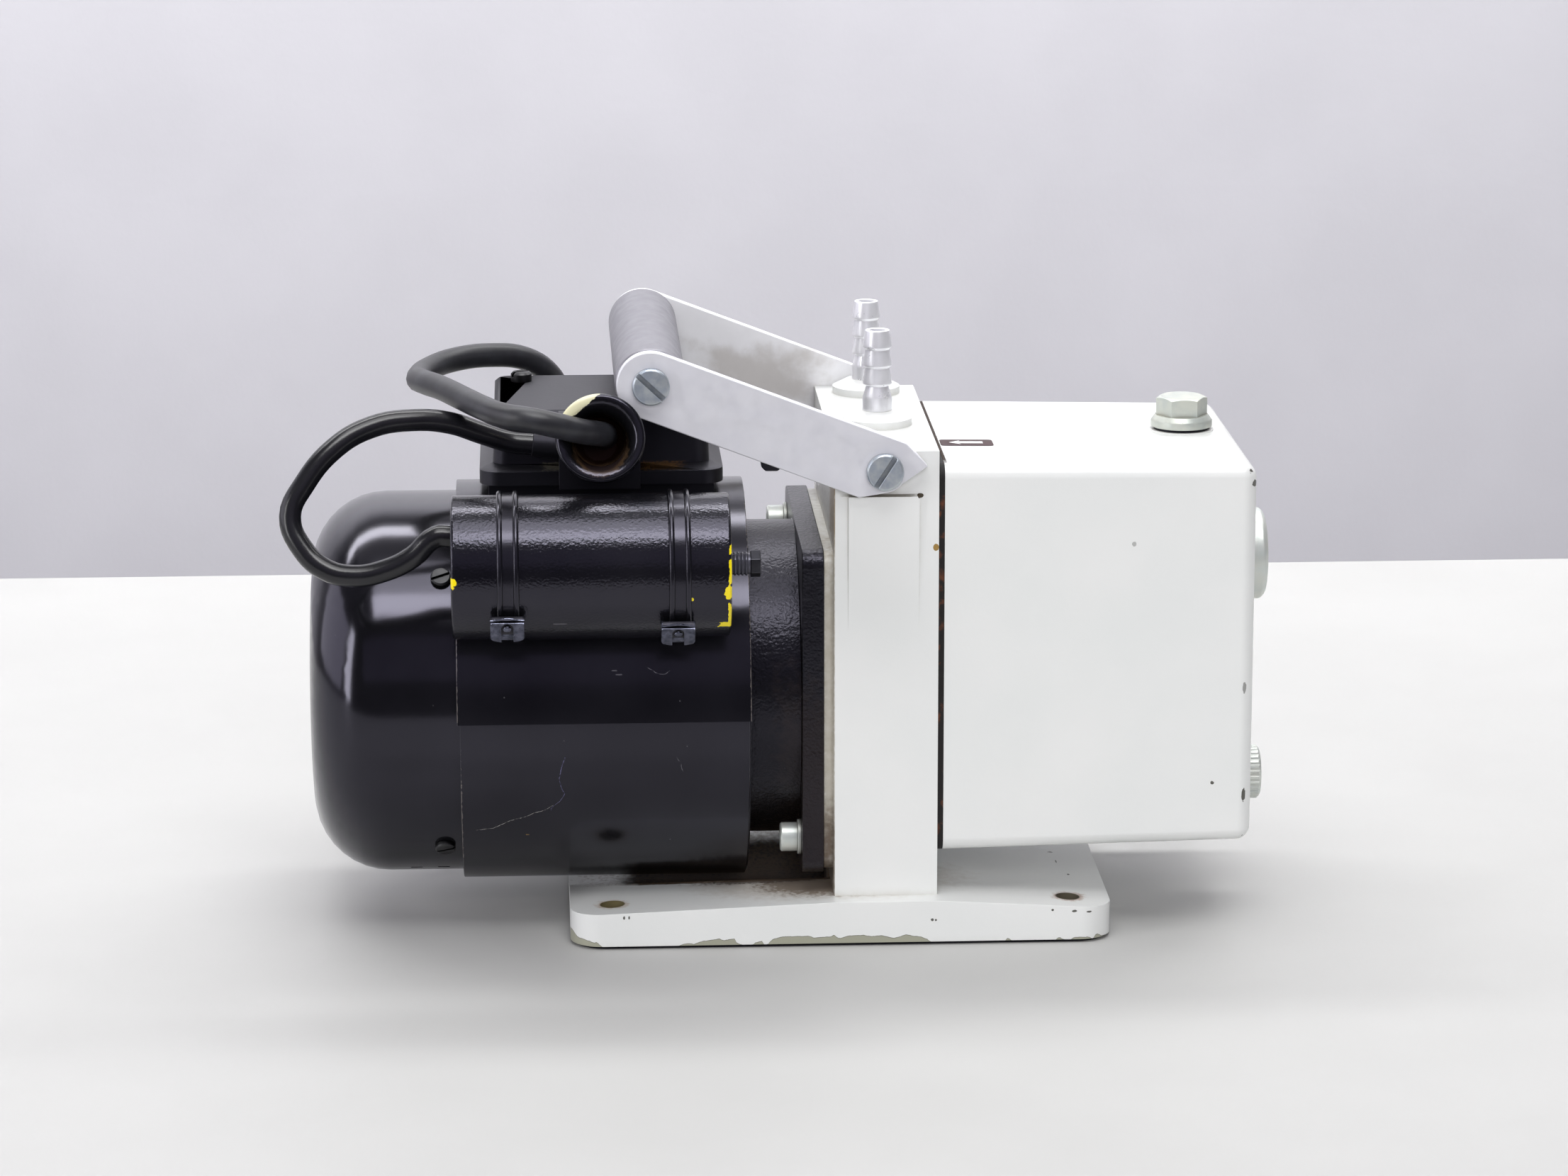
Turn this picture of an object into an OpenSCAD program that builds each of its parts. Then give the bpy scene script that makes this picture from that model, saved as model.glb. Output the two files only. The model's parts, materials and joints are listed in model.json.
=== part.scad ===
// Rotary vane vacuum pump with its flange-mounted motor, on a cast base plate.
// X runs along the shaft from the motor to the oil box, Y goes to the back, Z is up.
// The origin is the middle of the mounting holes, on the surface that the rubber mat rests on.

/* [Base] */
// Length of the base plate
base_l = 186; // [180:1:196]
// Width of the base plate
base_w = 134; // [130:1:150]
// Thickness of the base plate at its two ends
base_end_t = 11; // [9:0.5:12]
// Thickness of the base plate under the block
base_mid_t = 14.5; // [13.5:0.5:18]
// Corner radius of the base plate
base_r = 11; // [6:0.5:14]
// Spacing of the mounting holes along the pump
hole_x = 157; // [140:1:160]
// Spacing of the mounting holes across the pump
hole_y = 110; // [100:1:112]
// Diameter of the mounting holes
hole_d = 8; // [6:0.5:10]
// Thickness of the rubber mat
mat_t = 1.2; // [0.8:0.1:3]
// Distance from the mat's edge to the base plate's edge
mat_inset = 1.5; // [1:0.5:3]
// Metal left in the base plate under the motor's trough
trough_floor = 4.7; // [4:0.1:7]
// Air between the motor shell and its trough
trough_gap = 3.5; // [2:0.5:6]

/* [Block] */
// Left face of the block, from the middle of the base plate
block_x = -2.5; // [-6:0.5:2]
// Thickness of the block along the shaft
block_t = 35.5; // [32:0.5:42]
// Width of the block
block_w = 118; // [116:1:124]
// Top of the block above the base plate's underside
block_top = 170; // [166:1:178]
// Size of the square pad that the motor flange seats on
pad_s = 112; // [108:1:113]
// Height of that pad
pad_t = 3.2; // [2:0.2:5]
// Distance of the handle's stop ledge below the block's top
ledge_drop = 15.2; // [14:0.2:18]
// Height of the wedge under the stop ledge
seat_h = 47.8; // [40:0.2:60]
// Thickness of that wedge at its top
seat_t = 1.6; // [1:0.1:2.4]
// Diameter of the two port bosses
boss_d = 24; // [22:1:28]
// Height of the port bosses
boss_h = 5; // [4:0.5:8]
// Place of the front port across the pump
port_front = -11; // [-20:1:-6]
// Place of the rear port across the pump
port_rear = 47; // [38:1:46.9]

/* [Hose barbs] */
// Length of a barb above its boss
barb_l = 28; // [26:0.5:34]
// Diameter of the plain collar at the foot of a barb
barb_collar_d = 10.2; // [9.6:0.1:12]
// Diameter of the barb's rings
barb_ring_d = 10; // [9:0.1:10.2]
// Diameter between the rings
barb_neck_d = 7.6; // [7.2:0.1:8.2]
// Bore of the barb
barb_bore_d = 5.5; // [4:0.1:6]

/* [Oil box] */
// Length of the oil box along the shaft
box_l = 106.5; // [100:0.5:120]
// Underside of the oil box above the base plate's underside
box_bottom = 29.5; // [26:0.5:32]
// Top of the oil box above the base plate's underside
box_top = 165; // [160:1:169]
// Draft of the oil box's four long sides, as a share of its length
box_draft = 0.0146; // [0:0.0002:0.02]
// Radius of the oil box's edges
box_r = 5; // [3:0.5:8]
// Wall thickness of the oil box
box_wall = 4; // [3:0.5:6]
// Thickness of the gasket between block and oil box
gasket_t = 2; // [1:0.5:3]
// Distance of the fixing screws from the oil box's sides
box_screw_in = 12; // [11:0.5:14]
// Diameter of the sight glass's ring
sight_d = 32; // [28:1:36]
// Height of the sight glass above the base plate's underside
sight_z = 120; // [112:1:126]
// Height of the drain plug above the base plate's underside
drain_z = 40.5; // [39:0.5:46]
// Diameter of the drain plug's knurled head
drain_d = 19; // [16:0.5:20]
// Place of the filler plug, from the far end of the oil box
filler_in = 18.3; // [16:0.1:24]
// Place of the filler plug across the oil box
filler_y = 5.5; // [0:0.5:10]
// Diameter of the filler plug's collar
filler_d = 21.4; // [19:0.2:24]
// Size across the flats of the filler plug
filler_af = 15.6; // [13:0.2:17]
// Height of the filler plug's hexagon
filler_hex_h = 6.6; // [5:0.2:9]
// How far a knob or ring stands out of the oil box's end face
knob_l = 10.5; // [9:0.5:14]

/* [Motor] */
// Diameter of the motor shell
shell_d = 140; // [136:1:146]
// Length of the motor shell
shell_l = 99.5; // [96:0.5:110]
// Wall of the motor shell and of its end cap
shell_t = 1.6; // [1.2:0.1:2]
// Length of the end cap behind the shell
cap_l = 50.5; // [48:0.5:60]
// Diameter of the end cap
cap_d = 132.8; // [130:0.2:134]
// Radius of the end cap's rounded edge
cap_r = 26; // [20:1:30]
// Diameter of the motor's neck
neck_d = 109.6; // [104:0.2:112]
// Length of the motor's neck
neck_l = 17.8; // [15:0.2:24]
// Size of the motor's square flange
flange_s = 114; // [113.5:0.5:117]
// Thickness of the motor's square flange
flange_t = 7.5; // [6:0.5:10]
// Radius of the flange's corners
flange_r = 6; // [4:0.5:9]
// Distance of the flange screws from the shaft's axis, both ways
flange_screw = 46; // [44.5:0.5:48]
// Diameter of the motor shaft
shaft_d = 15; // [14:0.5:16]
// Diameter of the motor's rotor core
rotor_d = 72; // [66:1:76]
// Length of the stator core
core_l = 54; // [48:1:56]
// Air gap between the rotor core and the stator core
air_gap = 0.5; // [0.3:0.1:0.8]
// Diameter of the cooling fan
fan_d = 104; // [90:1:110]
// Number of fan blades
fan_blades = 8; // [6:1:10]

/* [Pumping chamber] */
// Diameter of the pump stator
chamber_d = 80; // [78:1:86]
// Length of the pump stator
chamber_l = 42; // [36:1:48]
// Bore of the pump stator
chamber_bore_d = 56; // [54:1:58]
// Diameter of the pump rotor
pump_rotor_d = 48; // [46:1:50]
// Thickness of the pump's end plates
plate_t = 7; // [6:0.5:9]
// Thickness of a vane
vane_t = 5; // [4:0.5:6]
// Depth of a vane
vane_h = 13; // [11:0.5:14]

/* [Terminal box] */
// Length of the terminal box's tray
tray_l = 83; // [80:1:90]
// Width of the terminal box's tray
tray_w = 76; // [72:1:84]
// Height of the tray, up to the cover
tray_h = 6.6; // [6:0.2:9]
// Distance from the shell's top up to the tray
tray_lift = 7; // [5:0.2:9]
// Height of the terminal box's cover
cover_h = 18.4; // [16:0.2:19]
// Distance from the tray's edge in to the cover
cover_in = 4.5; // [4:0.5:6]
// Wall thickness of the tray and the cover
tray_wall = 2.5; // [2:0.1:3.5]
// Length of the gland's housing along the motor
housing_l = 27.5; // [24:0.5:30]
// How far the gland's housing stands in front of the tray
housing_out = 7; // [6:0.5:9]
// Diameter of the gland's mouth
gland_d = 30; // [26:0.5:31]
// Diameter of the gland's throat
throat_d = 17.4; // [13:0.2:18]
// Length of the gland in front of its housing
gland_l = 27; // [24:0.5:29]
// Height of the gland's root above the tray
gland_lift = 14.7; // [14:0.1:15.4]
// Upward tilt of the gland
gland_tilt = 18; // [12:1:20]
// Diameter of the lid screws' heads
lid_screw_d = 7.4; // [6:0.2:8]
// Height of the lid screws' heads
lid_screw_h = 3.4; // [2:0.2:3.6]
// Distance of the lid screws from the lid's ends
lid_screw_in = 10; // [8:0.5:12]
// Distance of the lid screws from the lid's sides
lid_screw_side = 12; // [10:0.5:16]

/* [Capacitor] */
// Diameter of the capacitor
can_d = 48; // [44:1:50]
// Length of the capacitor
can_l = 92.6; // [86:0.2:96]
// Angle of the capacitor above the horizontal, on the motor's front
can_angle = 37; // [34:1:40]
// Gap between the capacitor and the motor shell
can_gap = 2; // [1.6:0.1:3]
// Width of a strap
strap_w = 7.3; // [6:0.1:10]
// Distance between the two straps
strap_pitch = 56.8; // [54:0.2:66]
// Thickness of a strap
strap_t = 0.8; // [0.6:0.1:1.2]
// Height of the round beads along a strap
bead_h = 0.5; // [0.3:0.1:0.8]

/* [Handle] */
// Distance from the handle's pivot to its grip
arm_reach = 84; // [80:1:90]
// Width of an arm
arm_w = 23; // [21:0.5:25]
// Thickness of an arm
arm_t = 4; // [3:0.5:5]
// Gap between the block and an arm
arm_gap = 0.4; // [0.3:0.1:0.8]
// Place of the pivot along the block, from its left face
pivot_in = 16.8; // [15:0.2:19]
// Diameter of the grip
grip_d = 24; // [22:0.5:28]
// Clearance between the resting grip and the terminal box's lid
grip_clear = 1.9; // [1.4:0.1:4]
// Clearance between the resting grip and a lid screw under it
screw_clear = 0.6; // [0.4:0.1:2]
// Height of the pivot above the stop ledge
pivot_lift = 9.3; // [9:0.1:9.8]
// Diameter of the slotted screw heads on the arms
arm_screw_d = 12.6; // [11:0.2:14]
// Thickness of those screw heads
arm_screw_h = 3; // [2:0.2:4]

/* [Cords] */
// Diameter of the mains cord
cord_d = 8.5; // [7.5:0.1:8.5]
// Diameter of the lead between the terminal box and the capacitor
lead_d = 7.5; // [6.5:0.1:8]
// Number of turns in the put-away coil
coil_turns = 4.25; // [3.25:1:5.25]
// Radius of the coil's outermost turn
coil_r = 56; // [54:1:60]
// Distance between neighbouring turns
coil_pitch = 9.1; // [9.1:0.1:10]

/* [Hidden] */
$fn = 64;

// Small gaps: a fit that touches, a running fit, and air beside a moving piece
fit = 0.05;
run = 0.1;
air = 0.3;

// Heights of the main surfaces and of the shaft's axis
base_z = mat_t;
axis_z = base_z + trough_floor + trough_gap + shell_d / 2;
block_z = base_z + base_mid_t;
top_z = base_z + block_top;
boss_z = top_z + boss_h;
box_z0 = base_z + box_bottom;
box_z1 = base_z + box_top;
box_mid_z = (box_z0 + box_z1) / 2;
box_h = box_z1 - box_z0;

// Places along the shaft
block_x1 = block_x + block_t;
block_mid_x = block_x + block_t / 2;
pad_x = block_x - pad_t;
flange_x = pad_x - flange_t;
shell_x1 = flange_x - neck_l;
shell_x0 = shell_x1 - shell_l;
cap_x0 = shell_x0 - cap_l;
box_x0 = block_x1 + gasket_t;
box_x1 = box_x0 + box_l;
bell_plug_l = 7;
shell_in_r = shell_d / 2 - shell_t;

// Fastener sizes
m6_r = 3;
m6_head_r = 5;
m6_head_h = 6;
m8_r = 4;
m8_head_r = 6.5;
m8_head_h = 8;
washer_r = 6;
washer_t = 1.2;
block_thread = 12;
pivot_thread = 7;

// Rear shield, bearings, windings and rotor of the motor
cap_lap = 4;
shield_web_t = 6;
shield_x0 = shell_x0 + cap_lap;
shield_x1 = shield_x0 + shield_web_t;
pillar_r = box_screw_in - box_wall + 0.5;
shield_rim_r = cap_d / 2 - shell_t - fit;
shield_rim_l = 14;
shield_rim_t = 7;
bearing_od = 35;
bearing_w = 10;
hub_r = 24;
core_shift = 2;
core_mid_x = (shield_x1 + shell_x1 - bell_plug_l) / 2 - core_shift;
core_x0 = core_mid_x - core_l / 2;
core_x1 = core_mid_x + core_l / 2;
winding_l = 10;
winding_r0 = rotor_d / 2 + 4;
winding_r1 = shell_in_r - 8;
cap_screw_x = shield_x0 - 9;
cap_screw_d = 7;
cap_screw_h = 2;
cap_screw_r = 2;
cap_screw_l = 7;
vent_in = 1;
vent_pitch = 9.5;
rear_bearing_x = shield_x0 - 4;
front_bearing_x = shell_x1 - 1;
coupling_l = 24;
coupling_x = pad_x - 2;
coupling_r = 17;
shaft_gap = 2;
shaft_x1 = coupling_x - shaft_gap / 2;
shaft_x0 = cap_x0 + 12;
fan_x = cap_x0 + 16;
fan_w = 13;
fan_hub_r = 12;
fan_plate_t = 2;
block_bore_r = coupling_r + 4;
seal_x = block_x1 - 11;
seal_w = 7;
seal_r = 13;

// Threads of the two plugs
plug_seal_t = 1;
filler_thread_r = filler_af / 2 - 0.5;
drain_thread_r = drain_d / 2 - 3.6;

// Pumping chamber
pump_shaft_r = 7;
plate_x = block_x1;
stator_x = plate_x + plate_t;
stator_x1 = stator_x + chamber_l;
bore_drop = (chamber_bore_d - pump_rotor_d) / 2 - run;
pump_rotor_r = pump_rotor_d / 2;
vane_tip_r = pump_rotor_r - air;
port_r = 3;
inlet_z = axis_z + 21;
outlet_z = box_z1 - 32;
filler_x = box_l - filler_in;
filler_z = box_z1 - box_draft * filler_x + 0.3;
valve_flat = chamber_d / 2 - 4;

// Terminal box
tray_z = axis_z + shell_d / 2 + tray_lift;
cover_z = tray_z + tray_h;
cover_top = cover_z + cover_h;
tray_x1 = shell_x1 - 8;
tray_x0 = tray_x1 - tray_l;
tray_mid_x = (tray_x0 + tray_x1) / 2;
tray_r = 7;
cover_r = 5;
pedestal_w = 60;
pedestal_in = 3;
housing_y = -tray_w / 2 - housing_out;
housing_x = tray_mid_x - 0.7;
housing_back_y = -tray_w / 2 + cover_in - fit;
gland_z = tray_z + gland_lift;
gland_tube_r = 9;
gland_floor = 8;
lid_thread_r = 1.5;
lid_shank_r = 2;
lid_thread_l = 9;
ledge_fall = 1.8;
lead_exit = [housing_x - housing_l / 2, housing_y + 4.5, gland_z - 0.6];
lead_boot_l = 9;

// Capacitor
can_r = can_d / 2;
can_x = shell_x0 - 0.8;
can_reach = shell_d / 2 + can_gap + can_r;
can_y = -can_reach * cos(can_angle);
can_z = axis_z + can_reach * sin(can_angle);
strap_mid_x = can_x + can_l / 2 + 0.9;
buckle_angles = [217, 224];
buckle = [11, 10, 4.4];
stud_r = 4;
stud_l = 7;
stud_tip_r = 2.5;
stud_tip_l = 3.4;
stud_nut_af = 8;
bead_w = 1.8;
saddle_l = 44;
saddle_w = 30;
saddle_lap = 6;
lead_end_up = 10.5;

// Handle
pivot_x = block_x + pivot_in;
arm_hw = arm_w / 2;
ledge_z = top_z - ledge_drop;
pivot_z = ledge_z + pivot_lift;
function lean(lift) = asin((cover_top + lift + grip_d / 2 - pivot_z) / arm_reach);
lid_screw_x = tray_x1 - cover_in - lid_screw_in;
screw_off = abs(lid_screw_x - pivot_x + arm_reach * cos(lean(grip_clear))) - lid_screw_d / 2;
screw_side = min(max(screw_off, 0), grip_d / 2);
grip_round = grip_d / 2 - sqrt(pow(grip_d / 2, 2) - pow(screw_side, 2));
grip_lift = max(grip_clear, lid_screw_h + screw_clear - grip_round);
rest_angle = lean(grip_lift);
arm_heel = (arm_hw * cos(rest_angle) + air - pivot_lift) / sin(rest_angle);
arm_y = block_w / 2 + arm_gap;
grip_x = pivot_x - arm_reach * cos(rest_angle);
grip_z = pivot_z + arm_reach * sin(rest_angle);
arm_pin_r = 4;
grip_pin_r = 3;

// Route of the mains cord, from the gland over the terminal box and down behind the motor
gland_dir = [0, -cos(gland_tilt), sin(gland_tilt)];
gland_root = [housing_x, housing_y, gland_z];
coil_c = [-56, 150];
tie_t = 1;
tie_w = 7;
tie_gap = 0.3;
coil_z = cord_d / 2 + tie_t + tie_gap + 0.1;
coil_lead = cord_d;
coil_tail = 28;
cord_points = [
  gland_root + gland_floor * gland_dir + [1.8, 0, 2.4],
  gland_root + (gland_floor + 6) * gland_dir + [1.4, 0, 2.5],
  [-82, -64.6, 179.6], [-88, -71.8, 182], [-96, -76.6, 185], [-104, -77.5, 187],
  [-113, -72, 187.5], [-120, -61, 188], [-127, -46, 188.5], [-135, -26, 188.5],
  [-141, -10, 187.5], [-143, 2, 186.5], [-140, 15, 187], [-131, 28, 188], [-118, 36, 188],
  [-106, 42, 185.5], [-98, 48, 179], [-94, 57, 169], [-93, 67, 154], [-94, 76, 134],
  [-97, 82, 108], [-100, 85, 80], [-104, 87, 54], [-108, 89, 32], [-111, 94, 16],
  [-112, 104, 8], [-112, 118, coil_z],
  [coil_c[0] - coil_r, coil_c[1] - coil_lead, coil_z]
];

// Route of the lead from its boot on the gland housing to the end of the capacitor
lead_points = [
  lead_exit + lead_boot_l * [-cos(6), 0, sin(6)],
  lead_exit + (lead_boot_l + 7) * [-cos(6), 0, sin(6)],
  [-121, -43.5, 176], [-131, -46, 180], [-144, -50, 182], [-158, -54, 180.5],
  [-170, -59, 174.5], [-180, -63.5, 163.5], [-185, -67, 153], [-181, -71, 143],
  [-173.5, -74, 136.5], [-164, -76, 134.5], [-153, -76.5, 136.5], [-144, can_y, 141],
  [can_x - 5, can_y, can_z + lead_end_up],
  [can_x, can_y, can_z + lead_end_up]
];

// Places a child with its Z axis along X, or along -Y
module along_x(x, y, z) translate([x, y, z]) rotate([0, 90, 0]) children();
module to_front(x, y, z) translate([x, y, z]) rotate([90, 0, 0]) children();

// Gives thickness along X to a drawing in Y and Z, or along Y to a drawing in X and Z
module slab_x(x, t) translate([x, 0, 0]) rotate([90, 0, 90]) linear_extrude(t) children();
module slab_y(y, t) translate([0, y + t, 0]) rotate([90, 0, 0]) linear_extrude(t) children();

// Turns an outline of [radius, distance] about a line along X
module turned(x, y, z, points) along_x(x, y, z) rotate_extrude($fn = 96) polygon(points);

module disc_x(x, l, r) along_x(x, 0, axis_z) cylinder(l, r = r, $fn = 96);

module round_rect(l, w, r) {
  square([l - 2 * r, w], center = true);
  square([l, w - 2 * r], center = true);
  for (i = [-1, 1], j = [-1, 1]) translate([i * (l / 2 - r), j * (w / 2 - r)]) circle(r);
}

module base_holes(z, h) {
  for (i = [-1, 1], j = [-1, 1])
    translate([i * hole_x / 2, j * hole_y / 2, z]) cylinder(h, d = hole_d);
}

// Slotted screw head with a chamfered edge, its flat underside at z = 0
module slotted_head(r, h, slot_w, slot_h, chamfer, turn) {
  difference() {
    rotate_extrude() polygon([[0, 0], [r, 0], [r, h - chamfer], [r - chamfer, h], [0, h]]);
    rotate(turn) translate([-r - 1, -slot_w / 2, h - slot_h]) cube([2 * r + 2, slot_w, slot_h + 1]);
  }
}

// Socket screw with its head above z = 0 and its shank below
module socket_screw(r, head_r, head_h, l) {
  translate([0, 0, -l]) cylinder(l + 0.5, r = r);
  difference() {
    rotate_extrude() polygon([[0, 0], [head_r, 0], [head_r, head_h - 0.5],
      [head_r - 0.5, head_h], [0, head_h]]);
    translate([0, 0, head_h * 0.5]) cylinder(head_h, r = head_r * 0.55, $fn = 6);
  }
}

// Round tube along points: each ring's frame is carried on from the ring before it
function unit(v) = v / norm(v);
function tangent(p, i) = unit(p[min(i + 1, len(p) - 1)] - p[max(i - 1, 0)]);
function carried(t, n) = unit(n - (n * t) * t);
function normals(p, i, n) = i >= len(p) ? [] :
  let (m = carried(tangent(p, i), n)) concat([m], normals(p, i + 1, m));
function ring(p, t, n, r, sides) =
  let (b = cross(t, n)) [for (k = [0 : sides - 1]) let (a = (k + 0.5) * 360 / sides)
    p + r * (cos(a) * n + sin(a) * b)];
module tube(p, r, sides, n0) {
  n = normals(p, 0, n0);
  last = (len(p) - 1) * sides;
  rings = [for (i = [0 : len(p) - 1]) each ring(p[i], tangent(p, i), n[i], r, sides)];
  sides_t = [for (i = [0 : len(p) - 2], k = [0 : sides - 1]) let (a = i * sides + k,
    b = i * sides + (k + 1) % sides) each [[a, b, a + sides], [b, b + sides, a + sides]]];
  start = [for (k = [1 : sides - 2]) [0, k + 1, k]];
  end = [for (k = [1 : sides - 2]) [last, last + k, last + k + 1]];
  polyhedron(rings, [for (f = concat(sides_t, start, end)) [f[0], f[2], f[1]]]);
}

// Put-away coil: in on the lower layer, up in the half turn where it reverses, out again
coil_steps = round(coil_turns * 24);
function coil_radius(t) = coil_r - coil_pitch * min(t, coil_turns - t);
function coil_rise(t) = coil_pitch * max(0, min(1, 2 * (t - coil_turns / 2) + 0.5));
function coil_point(t) = let (a = 180 - 360 * t)
  [coil_c[0] + coil_radius(t) * cos(a), coil_c[1] + coil_radius(t) * sin(a), coil_z + coil_rise(t)];
coil_curve = [for (i = [0 : coil_steps]) coil_point(i / 24)];
coil_points = concat([coil_curve[0] - [0, coil_lead, 0]], coil_curve,
  [coil_curve[coil_steps] + [coil_tail, 0, 0]]);
coil_gap = min([for (i = [0 : coil_steps], j = [0 : coil_steps]) if (j - i > 12)
  norm(coil_curve[i] - coil_curve[j])]) - cord_d;
plug_at = coil_points[len(coil_points) - 1];

// Lengths that the report gives
function run_length(p, i = 1) = i >= len(p) ? 0 : norm(p[i] - p[i - 1]) + run_length(p, i + 1);
echo(coil_gap_mm = coil_gap);
echo(cord_mm = run_length(cord_points), coil_mm = run_length(coil_points),
  lead_mm = run_length(lead_points));

module base_mat() {
  color("dimgray") difference() {
    linear_extrude(mat_t) round_rect(base_l - 2 * mat_inset, base_w - 2 * mat_inset, base_r);
    base_holes(-1, mat_t + 2);
  }
}

module base_plate() {
  color("whitesmoke") difference() {
    intersection() {
      translate([0, 0, base_z]) linear_extrude(base_mid_t) round_rect(base_l, base_w, base_r);
      slab_y(-base_w / 2 - 1, base_w + 2) polygon([[-base_l / 2, base_z], [base_l / 2, base_z],
        [base_l / 2, base_z + base_end_t], [block_x1, block_z], [block_x, block_z],
        [-base_l / 2, base_z + base_end_t]]);
    }
    along_x(-base_l, 0, axis_z) cylinder(base_l + block_x, d = shell_d + 2 * trough_gap, $fn = 128);
    base_holes(base_z - 1, base_mid_t + 2);
    base_screw_places() {
      cylinder(base_mid_t + 1, r = m8_r + fit);
      translate([0, 0, -1]) cylinder(m8_head_h + 1.5, r = m8_head_r + 0.5);
    }
  }
}

// Four screws hold the block down from under the base plate
module base_screw_places() {
  for (i = [-1, 1], j = [-1, 1])
    translate([block_mid_x + i * block_t / 4, j * block_w / 3, base_z]) children();
}

module base_screws() {
  color("silver") base_screw_places() translate([0, 0, m8_head_h + 0.5]) mirror([0, 0, 1])
    socket_screw(m8_r, m8_head_r, m8_head_h, base_mid_t - m8_head_h - 0.5 + block_thread);
}

module mounting_block() {
  passages = [[port_front, inlet_z], [port_rear, outlet_z]];
  color("whitesmoke") difference() {
    union() {
      translate([block_x, -block_w / 2, block_z]) cube([block_t, block_w, top_z - block_z]);
      slab_x(pad_x, pad_t + 1) translate([0, axis_z]) round_rect(pad_s, pad_s, flange_r);
      for (y = [port_front, port_rear]) translate([block_mid_x, y, top_z]) rotate_extrude()
        polygon([[0, -1], [boss_d / 2, -1], [boss_d / 2, boss_h / 2], [boss_d / 2 - 5, boss_h],
          [0, boss_h]]);
      for (j = [0, 1]) mirror([0, j, 0]) slab_x(pivot_x - 12, 24) polygon([
        [-block_w / 2 + 1, ledge_z], [-block_w / 2 - seat_t, ledge_z],
        [-block_w / 2, ledge_z - seat_h], [-block_w / 2 + 1, ledge_z - seat_h]]);
    }
    disc_x(pad_x - 1, seal_x - pad_x + 1, block_bore_r);
    disc_x(seal_x - 1, seal_w + 1, seal_r + fit);
    disc_x(seal_x, block_x1, pump_shaft_r + 1);
    base_screw_places() cylinder(base_mid_t + block_thread + 1, r = m8_r + fit);
    for (s = [-1, 1]) along_x(pad_x - 1, s * flange_screw, axis_z + s * flange_screw)
      cylinder(block_thread + pad_t, r = m6_r + fit);
    box_screw_places(block_x1 - block_thread - 1) cylinder(block_thread + 2, r = m6_r + fit);
    for (j = [0, 1]) mirror([0, j, 0]) to_front(pivot_x, -block_w / 2 + pivot_thread + 1, pivot_z)
      cylinder(pivot_thread + 2, r = m6_r + fit);
    for (p = passages) {
      translate([block_mid_x, p[0], p[1]]) cylinder(boss_z - p[1] + 1, r = port_r);
      along_x(block_mid_x, p[0], p[1]) cylinder(block_t, r = port_r);
      translate([block_mid_x, p[0], boss_z - 8]) cylinder(9, d = barb_neck_d + 2 * fit);
    }
  }
}

// Machined hose barb: a threaded foot, a plain collar and three rings
module barb(y) {
  ring_h = 6;
  neck_z = 8.6;
  edge = 0.6;
  ring_r = barb_ring_d / 2;
  neck_r = barb_neck_d / 2;
  step = (barb_l - neck_z - ring_h - edge) / 2;
  rings = [for (i = [0 : 2]) each [[ring_r, neck_z + edge + i * step],
    [ring_r, neck_z + 2 * edge + i * step],
    [neck_r + 0.4, neck_z + i * step + (i < 2 ? step : ring_h + edge)]]];
  translate([block_mid_x, y, boss_z]) rotate_extrude() polygon(concat(
    [[barb_bore_d / 2, -7.5], [neck_r, -7.5], [neck_r, 0], [barb_collar_d / 2, 0],
      [barb_collar_d / 2, 4.3], [neck_r, neck_z]],
    rings, [[barb_bore_d / 2, barb_l]]));
}

module inlet_barb() {
  color("gainsboro") barb(port_front);
}

module outlet_barb() {
  color("gainsboro") barb(port_rear);
}

// Places of the four long screws that hold the oil box to the block
module box_screw_places(x) {
  for (j = [-1, 1], k = [-1, 1]) along_x(x, j * (block_w / 2 - box_screw_in),
    box_mid_z + k * (box_h / 2 - box_screw_in)) children();
}

// Drafted box with round edges: drop takes it in by a wall on every side but the open one
module drafted_box(drop) {
  w = block_w / 2 - drop;
  h = box_h / 2 - drop;
  r = max(1, box_r - drop);
  end = box_draft * box_l;
  hull() {
    slab_x(box_x0, 0.1) translate([0, box_mid_z]) round_rect(2 * w, 2 * h, r);
    for (j = [-1, 1], k = [-1, 1])
      translate([box_x1 - drop - r, j * (w - end - r), box_mid_z + k * (h - end - r)])
        sphere(r, $fn = 32);
  }
}

module oil_box_gasket() {
  color("saddlebrown") difference() {
    slab_x(block_x1, gasket_t) difference() {
      translate([0, box_mid_z]) round_rect(block_w, box_h, box_r);
      difference() {
        translate([0, box_mid_z]) square([block_w - 2 * box_wall, box_h - 2 * box_wall], center = true);
        for (j = [-1, 1], k = [-1, 1]) translate([j * (block_w / 2 - box_screw_in),
          box_mid_z + k * (box_h / 2 - box_screw_in)]) circle(pillar_r);
      }
    }
    box_screw_places(block_x1 - 1) cylinder(gasket_t + 2, r = m6_r + fit);
  }
}

module oil_box() {
  color("white") difference() {
    union() {
      difference() {
        drafted_box(0);
        difference() {
          translate([-0.05, 0, 0]) drafted_box(box_wall);
          box_screw_places(box_x0 - 1) cylinder(box_l, r = pillar_r);
        }
      }
      translate([box_x0 + filler_x, filler_y, filler_z - 2]) cylinder(2, d = filler_d + 1);
    }
    box_screw_places(box_x0 - 1) {
      cylinder(box_l + 10, r = m6_r + fit);
      translate([0, 0, box_l - m6_head_h]) cylinder(20, r = m6_head_r + 0.5);
    }
    translate([box_x0 + filler_x, filler_y, box_z1 - 8]) cylinder(20, r = filler_thread_r + fit);
    along_x(box_x1 - 10, 0, base_z + sight_z) cylinder(20, r = sight_d / 2 - 3);
    along_x(box_x1 - 10, 0, base_z + drain_z) cylinder(20, r = drain_thread_r + fit);
  }
}

module oil_box_screws() {
  color("silver") box_screw_places(box_x1 - m6_head_h - 1) socket_screw(m6_r, m6_head_r,
    m6_head_h, box_l + gasket_t + block_thread - m6_head_h - 1);
}

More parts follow.
